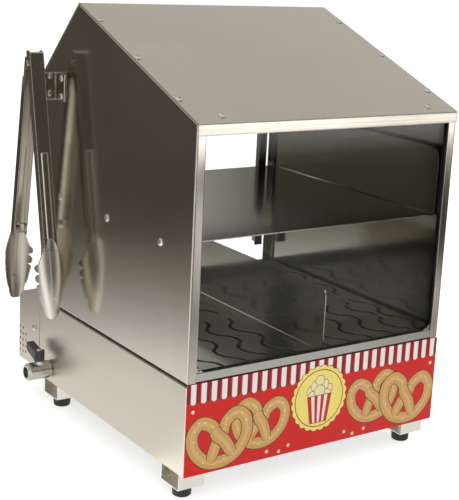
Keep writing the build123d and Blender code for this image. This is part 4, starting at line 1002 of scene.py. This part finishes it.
@dataclass
class FrontPrint:
    """Generic snack-stand print: striped awning, pretzels and a cup of popcorn."""

    workshop: Workshop
    film: float = -168.8
    top: float = 131.2
    edge: float = 167.2
    pitch: float = 12.3
    first: float = -159.6
    stripes: int = 27
    stripe_width: float = 6.2
    valance: float = 19.8
    dark_share: float = 0.74
    badge_at: Point = (0.0, 88.0)
    badge_radius: float = 35.0
    outline: float = 0.8
    POPCORN: ClassVar[tuple[Place, ...]] = (
        (-11.5, 9.5, 5.0), (11.5, 9.5, 5.0), (-5.5, 14.5, 5.6), (5.5, 14.8, 5.6),
        (0.0, 20.0, 5.2), (-9.5, 3.5, 5.0), (9.5, 3.5, 5.0), (0.0, 8.0, 6.4))
    PRETZELS: ClassVar[tuple[tuple[Point, float, float, float], ...]] = (
        ((-76.0, 76.5), 33.0, -0.14, 3.0), ((76.0, 76.5), 33.0, 0.14, 3.0),
        ((-125.5, 68.0), 36.0, 0.12, 10.0), ((125.5, 68.0), 36.0, -0.12, 10.0))
    DOTS: ClassVar[tuple[Point, ...]] = (
        (-97.0, 103.5), (-38.0, 42.0), (-66.0, 40.5), (38.0, 42.0), (97.0, 103.5),
        (66.0, 40.5), (-159.5, 102.0), (159.5, 102.0), (-50.0, 37.5), (50.0, 37.5))
    BOW: ClassVar[list[Point]] = [(0.10, 0.16), (0.26, 0.46), (0.60, 0.62), (0.90, 0.36),
                                  (0.88, -0.14), (0.52, -0.58), (0.0, -0.72)]
    ARM: ClassVar[list[Point]] = [(0.20, 0.34), (0.08, 0.10), (-0.14, -0.14), (-0.40, -0.66)]

    def build(self) -> None:
        """Makes the awning and the motifs."""
        self.awning()
        self.badge()
        self.pretzels()

    def awning(self) -> None:
        """Makes the awning's stripes with rounded lower ends."""
        recipe = Recipe("awning_print")
        coat = self.workshop.material
        white, gap, drop = self.stripe_width, self.pitch - self.stripe_width, self.valance
        gaps, reach = self.stripes - 1, self.pitch * (self.stripes - 1)
        middle, light = self.pitch / 2, 1 - self.dark_share
        ends = self.edge - white / 2
        left, right = ends + self.first, ends - self.first - reach
        rows = [
            ("Shadow", white + 1.0, drop + 2.4, 0.0, 2, Finish.BROWN, self.stripes),
            ("Dark edge", gap + 0.4, drop + 0.6, middle, 3, Finish.BROWN, gaps),
            ("Dark", gap * self.dark_share, drop, middle - gap * light / 2, 4, Finish.MAROON, gaps),
            ("Light", gap * light, drop, middle + gap * self.dark_share / 2, 4, Finish.RED, gaps),
            ("Left end", left, drop, -(white + left) / 2, 4, Finish.MAROON, 1),
            ("Right end", right, drop, reach + (white + right) / 2, 4, Finish.MAROON, 1),
            ("White", white, drop + 1.9, 0.0, 6, Finish.WHITE, self.stripes)]
        made = []
        for name, width, length, shift, layer, finish, count in rows:
            bars = self.stripe_row(recipe, name, (width, length), shift, layer, count)
            made.append(recipe.coat(bars, f"{name} ink", coat(finish)))
        mesh = recipe.run(recipe.join(*made))
        self.workshop.piece("awning_print", mesh, "casing", "printed_panel")

    def stripe_row(self, recipe: Recipe, name: str, size: Point, shift: float, layer: int,
                   count: int) -> Socket:
        """Adds one row of equal stripes.

        Args:
            recipe: Tree of the awning.
            name: Name of the row.
            size: Width of a stripe, and how far it hangs below the top edge.
            shift: Its middle from the white stripe's middle.
            layer: How many hundredths of a millimetre it stands proud.
            count: How many stripes the row has.

        Returns:
            The row's geometry.
        """
        tree = recipe.tree
        width, drop = size
        wide = recipe.size(f"{name} width", width * MM)
        long = recipe.size(f"{name} drop", drop * MM)
        outline = tree.out("GeometryNodeCurvePrimitiveQuadrilateral", {
            "Width": wide, "Height": long}, mode="RECTANGLE")
        height = tree.axes(tree.out("GeometryNodeInputPosition"))[1]
        low = tree.math("LESS_THAN", height, 0.0)
        radius = tree.math("MULTIPLY", low, tree.math("MULTIPLY", wide, 0.46))
        rounded = tree.out("GeometryNodeFilletCurve", {
            "Curve": outline, "Radius": radius, "Count": 6}, mode="POLY")
        sheet = tree.out("GeometryNodeFillCurve", {0: rounded}, mode="NGONS")
        thick = InkLayers.BACKING + layer * InkLayers.STEP
        grown = tree.add("GeometryNodeExtrudeMesh", {
            "Mesh": sheet, "Offset Scale": thick * MM, "Individual": False},
            mode="FACES").outputs["Mesh"]
        back = tree.out("GeometryNodeFlipFaces", {0: sheet})
        closed = tree.out("GeometryNodeMergeByDistance", {
            "Geometry": recipe.join(grown, back), "Distance": 0.001 * MM})
        stripe = recipe.place(closed, turn=(math.pi / 2, 0, 0))
        points = tree.out("GeometryNodeMeshLine", {
            "Count": recipe.size(f"{name} count", count, "Int"),
            "Start Location": ((self.first + shift) * MM, (self.film + InkLayers.BACKING) * MM,
                               (self.top - drop / 2) * MM),
            "Offset": (self.pitch * MM, 0.0, 0.0)})
        return tree.out("GeometryNodeInstanceOnPoints", {"Points": points, "Instance": stripe})

    def badge(self) -> None:
        """Makes the yellow badge with its striped cup of popcorn."""
        print_ = InkLayers(self.workshop, self.film)
        x, z = self.badge_at
        ring = self.badge_radius
        edge = self.outline
        print_.add(disc((x, z), ring + edge, 192, 2.2, 24), 8, Finish.BROWN)
        print_.add(disc((x, z), ring, 192, 2.2, 24), 10, Finish.YELLOW)
        print_.add(disc((x, z), ring - 2.5), 11, Finish.MAROON)
        print_.add(disc((x, z), ring - 3.5), 12, Finish.YELLOW)
        for index, (dx, dz, size) in enumerate(self.POPCORN):
            for rim, layer, ink in ((0.6, 12.4, Finish.BROWN), (0.0, 12.6, Finish.CREAM)):
                print_.add(disc((x + dx, z + dz), size + rim, 28, 0.7, 5), layer + index * 0.4, ink)
        top, low, high, deep = 15.5, 10.5, 3.0, -27.0
        print_.add([(x - top - edge, z + high + edge), (x + top + edge, z + high + edge),
                    (x + low + edge, z + deep - edge), (x - low - edge, z + deep - edge)], 16,
                   Finish.BROWN)
        panels = 7
        for index in range(panels):
            a, b = -1 + 2 * index / panels, -1 + 2 * (index + 1) / panels
            print_.add([(x + a * top, z + high), (x + b * top, z + high),
                        (x + b * low, z + deep), (x + a * low, z + deep)], 18,
                       Finish.RED if index % 2 == 0 else Finish.WHITE)
        print_.finish("badge_print")

    def pretzels(self) -> None:
        """Makes two pairs of overlapping pretzels and the sprinkled dots."""
        print_ = InkLayers(self.workshop, self.film)
        for number, (centre, size, tilt, layer) in enumerate(self.PRETZELS):
            self.pretzel(print_, centre, size, tilt, layer, number)
        for dot in self.DOTS:
            print_.add(disc(dot, 2.0, 20), 2.0, Finish.CREAM)
        print_.finish("pretzel_print")

    def pretzel(self, print_: InkLayers, centre: Point, size: float, tilt: float, layer: float,
                seed: int) -> None:
        """Draws one salted pretzel.

        Args:
            print_: Print that it goes into.
            centre: Its middle in x and z.
            size: Half of its width.
            tilt: Its turn in radians.
            layer: Its lowest layer.
            seed: Seed of its salt.
        """
        bow = smoothed(self.BOW + [(-x, z) for x, z in self.BOW[-2::-1]])
        arm = smoothed(self.ARM)
        other = [(-x, z) for x, z in arm]

        def put(points: list[Point]) -> list[Point]:
            """Turns, scales and moves points of the motif."""
            return [(centre[0] + size * (x * math.cos(tilt) - z * math.sin(tilt)),
                     centre[1] + size * (x * math.sin(tilt) + z * math.cos(tilt)))
                    for x, z in points]

        thick = 0.185 * size
        for index, (line, tips) in enumerate(((bow, 0.0), (arm, 0.22), (other, 0.22))):
            placed = put(line)
            level = layer + 2 * index
            print_.add(ribbon(placed, thick + 0.9, tips), level, Finish.BROWN)
            print_.add(ribbon(placed, thick, tips), level + 1.0, Finish.TAN)
            print_.add(ribbon(placed[1:-1], thick * 0.30, 0.15), level + 1.5, Finish.CRUST)
        rows = random.Random(seed)
        for x, z in put(bow[3:-3:4]):
            spot = (x + rows.uniform(-2.4, 2.4), z + rows.uniform(-2.4, 2.4))
            print_.add(disc(spot, rows.uniform(0.7, 1.05), 5), layer + 6.5, Finish.CREAM)


@dataclass
class BackMarks:
    """Scale of the thermostat and the switch's ON and OFF on the control box."""

    workshop: Workshop
    face: float = 226.5
    dial_at: Point = (-45.0, 87.0)
    switch_at: Point = (62.0, 87.0)
    scale_radius: float = 23.0
    ticks: int = 21
    tick: Point = (0.5, 3.0)
    sweep: float = 280.0
    numerals: int = 6
    numeral_gap: float = 6.5
    numeral_height: float = 5.0
    word_at: Point = (15.5, 17.0)
    word_height: float = 4.2
    proud: float = 0.12

    def build(self) -> None:
        """Makes the ticks and the lettering."""
        self.tick_ring()
        reach = self.scale_radius + self.numeral_gap
        numerals = []
        for index in range(self.numerals):
            angle = math.radians(90 + self.sweep / 2 - index * self.sweep / (self.numerals - 1))
            numerals.append((str(index), self.dial_at[0] - reach * math.cos(angle),
                             self.dial_at[1] + reach * math.sin(angle), self.numeral_height))
        self.words("dial_numerals", numerals)
        (x, z), (aside, above) = self.switch_at, self.word_at
        self.words("switch_words", [("ON", x + aside, z + above, self.word_height),
                                    ("OFF", x - aside, z + above, self.word_height)])

    def tick_ring(self) -> None:
        """Makes the ring of ticks round the knob."""
        recipe = Recipe("dial_ticks")
        tree = recipe.tree
        arc = tree.out("GeometryNodeCurveArc", {
            "Resolution": recipe.size("Ticks", self.ticks, "Int"),
            "Radius": recipe.size("Scale radius", self.scale_radius * MM),
            "Start Angle": math.radians(90 - self.sweep / 2),
            "Sweep Angle": math.radians(self.sweep)})
        bar = tree.out("GeometryNodeMeshCube", {
            "Size": (self.tick[0] * MM, self.tick[1] * MM, 2 * self.proud * MM)})
        outward = tree.out("FunctionNodeAlignRotationToVector", {
            "Vector": tree.out("GeometryNodeInputPosition")}, axis="Y")
        ring = tree.out("GeometryNodeInstanceOnPoints", {
            "Points": arc, "Instance": bar, "Rotation": outward})
        placed = recipe.place(ring, (self.dial_at[0] * MM, self.face * MM, self.dial_at[1] * MM),
                              (math.pi / 2, 0.0, math.pi))
        mesh = recipe.run(recipe.coat(placed, "Ink", self.workshop.material(Finish.INK)))
        self.workshop.piece("dial_ticks", mesh, "casing", "printed_panel")

    def words(self, name: str, items: list[tuple[str, float, float, float]]) -> None:
        """Makes raised printed words on the back face as one piece.

        Args:
            name: Name of the piece.
            items: Words with their middle in x and z and their height in millimetres.
        """
        shape = bmesh.new()
        turn = Matrix(((-1, 0, 0), (0, 0, 1), (0, 1, 0))).transposed().to_4x4()
        for text, x, z, height in items:
            curve = bpy.data.curves.new(text, "FONT")
            curve.body = text
            curve.size = height * MM
            curve.align_x, curve.align_y = "CENTER", "CENTER"
            curve.extrude = self.proud * MM
            curve.resolution_u = 4
            carrier = bpy.data.objects.new(text, curve)
            mesh = bpy.data.meshes.new_from_object(carrier)
            mesh.transform(Matrix.Translation((x * MM, self.face * MM, z * MM)) @ turn)
            shape.from_mesh(mesh)
            bpy.data.objects.remove(carrier)
        bmesh.ops.remove_doubles(shape, verts=shape.verts, dist=1e-6)
        bmesh.ops.recalc_face_normals(shape, faces=shape.faces)
        mesh = bpy.data.meshes.new(name)
        shape.to_mesh(mesh)
        shape.free()
        self.workshop.piece(name, mesh, "casing", "printed_panel", Finish.INK)


def main() -> None:
    """Builds the studio and dresses the steamer."""
    logging.basicConfig(level=logging.INFO, format="%(name)s: %(message)s")
    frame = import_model()
    workshop = Workshop(frame)
    Studio().build()
    Casing(workshop).dress()
    Fasteners(workshop).build()
    FrontPrint(workshop).build()
    BackMarks(workshop).build()


if __name__ == "__main__":
    main()
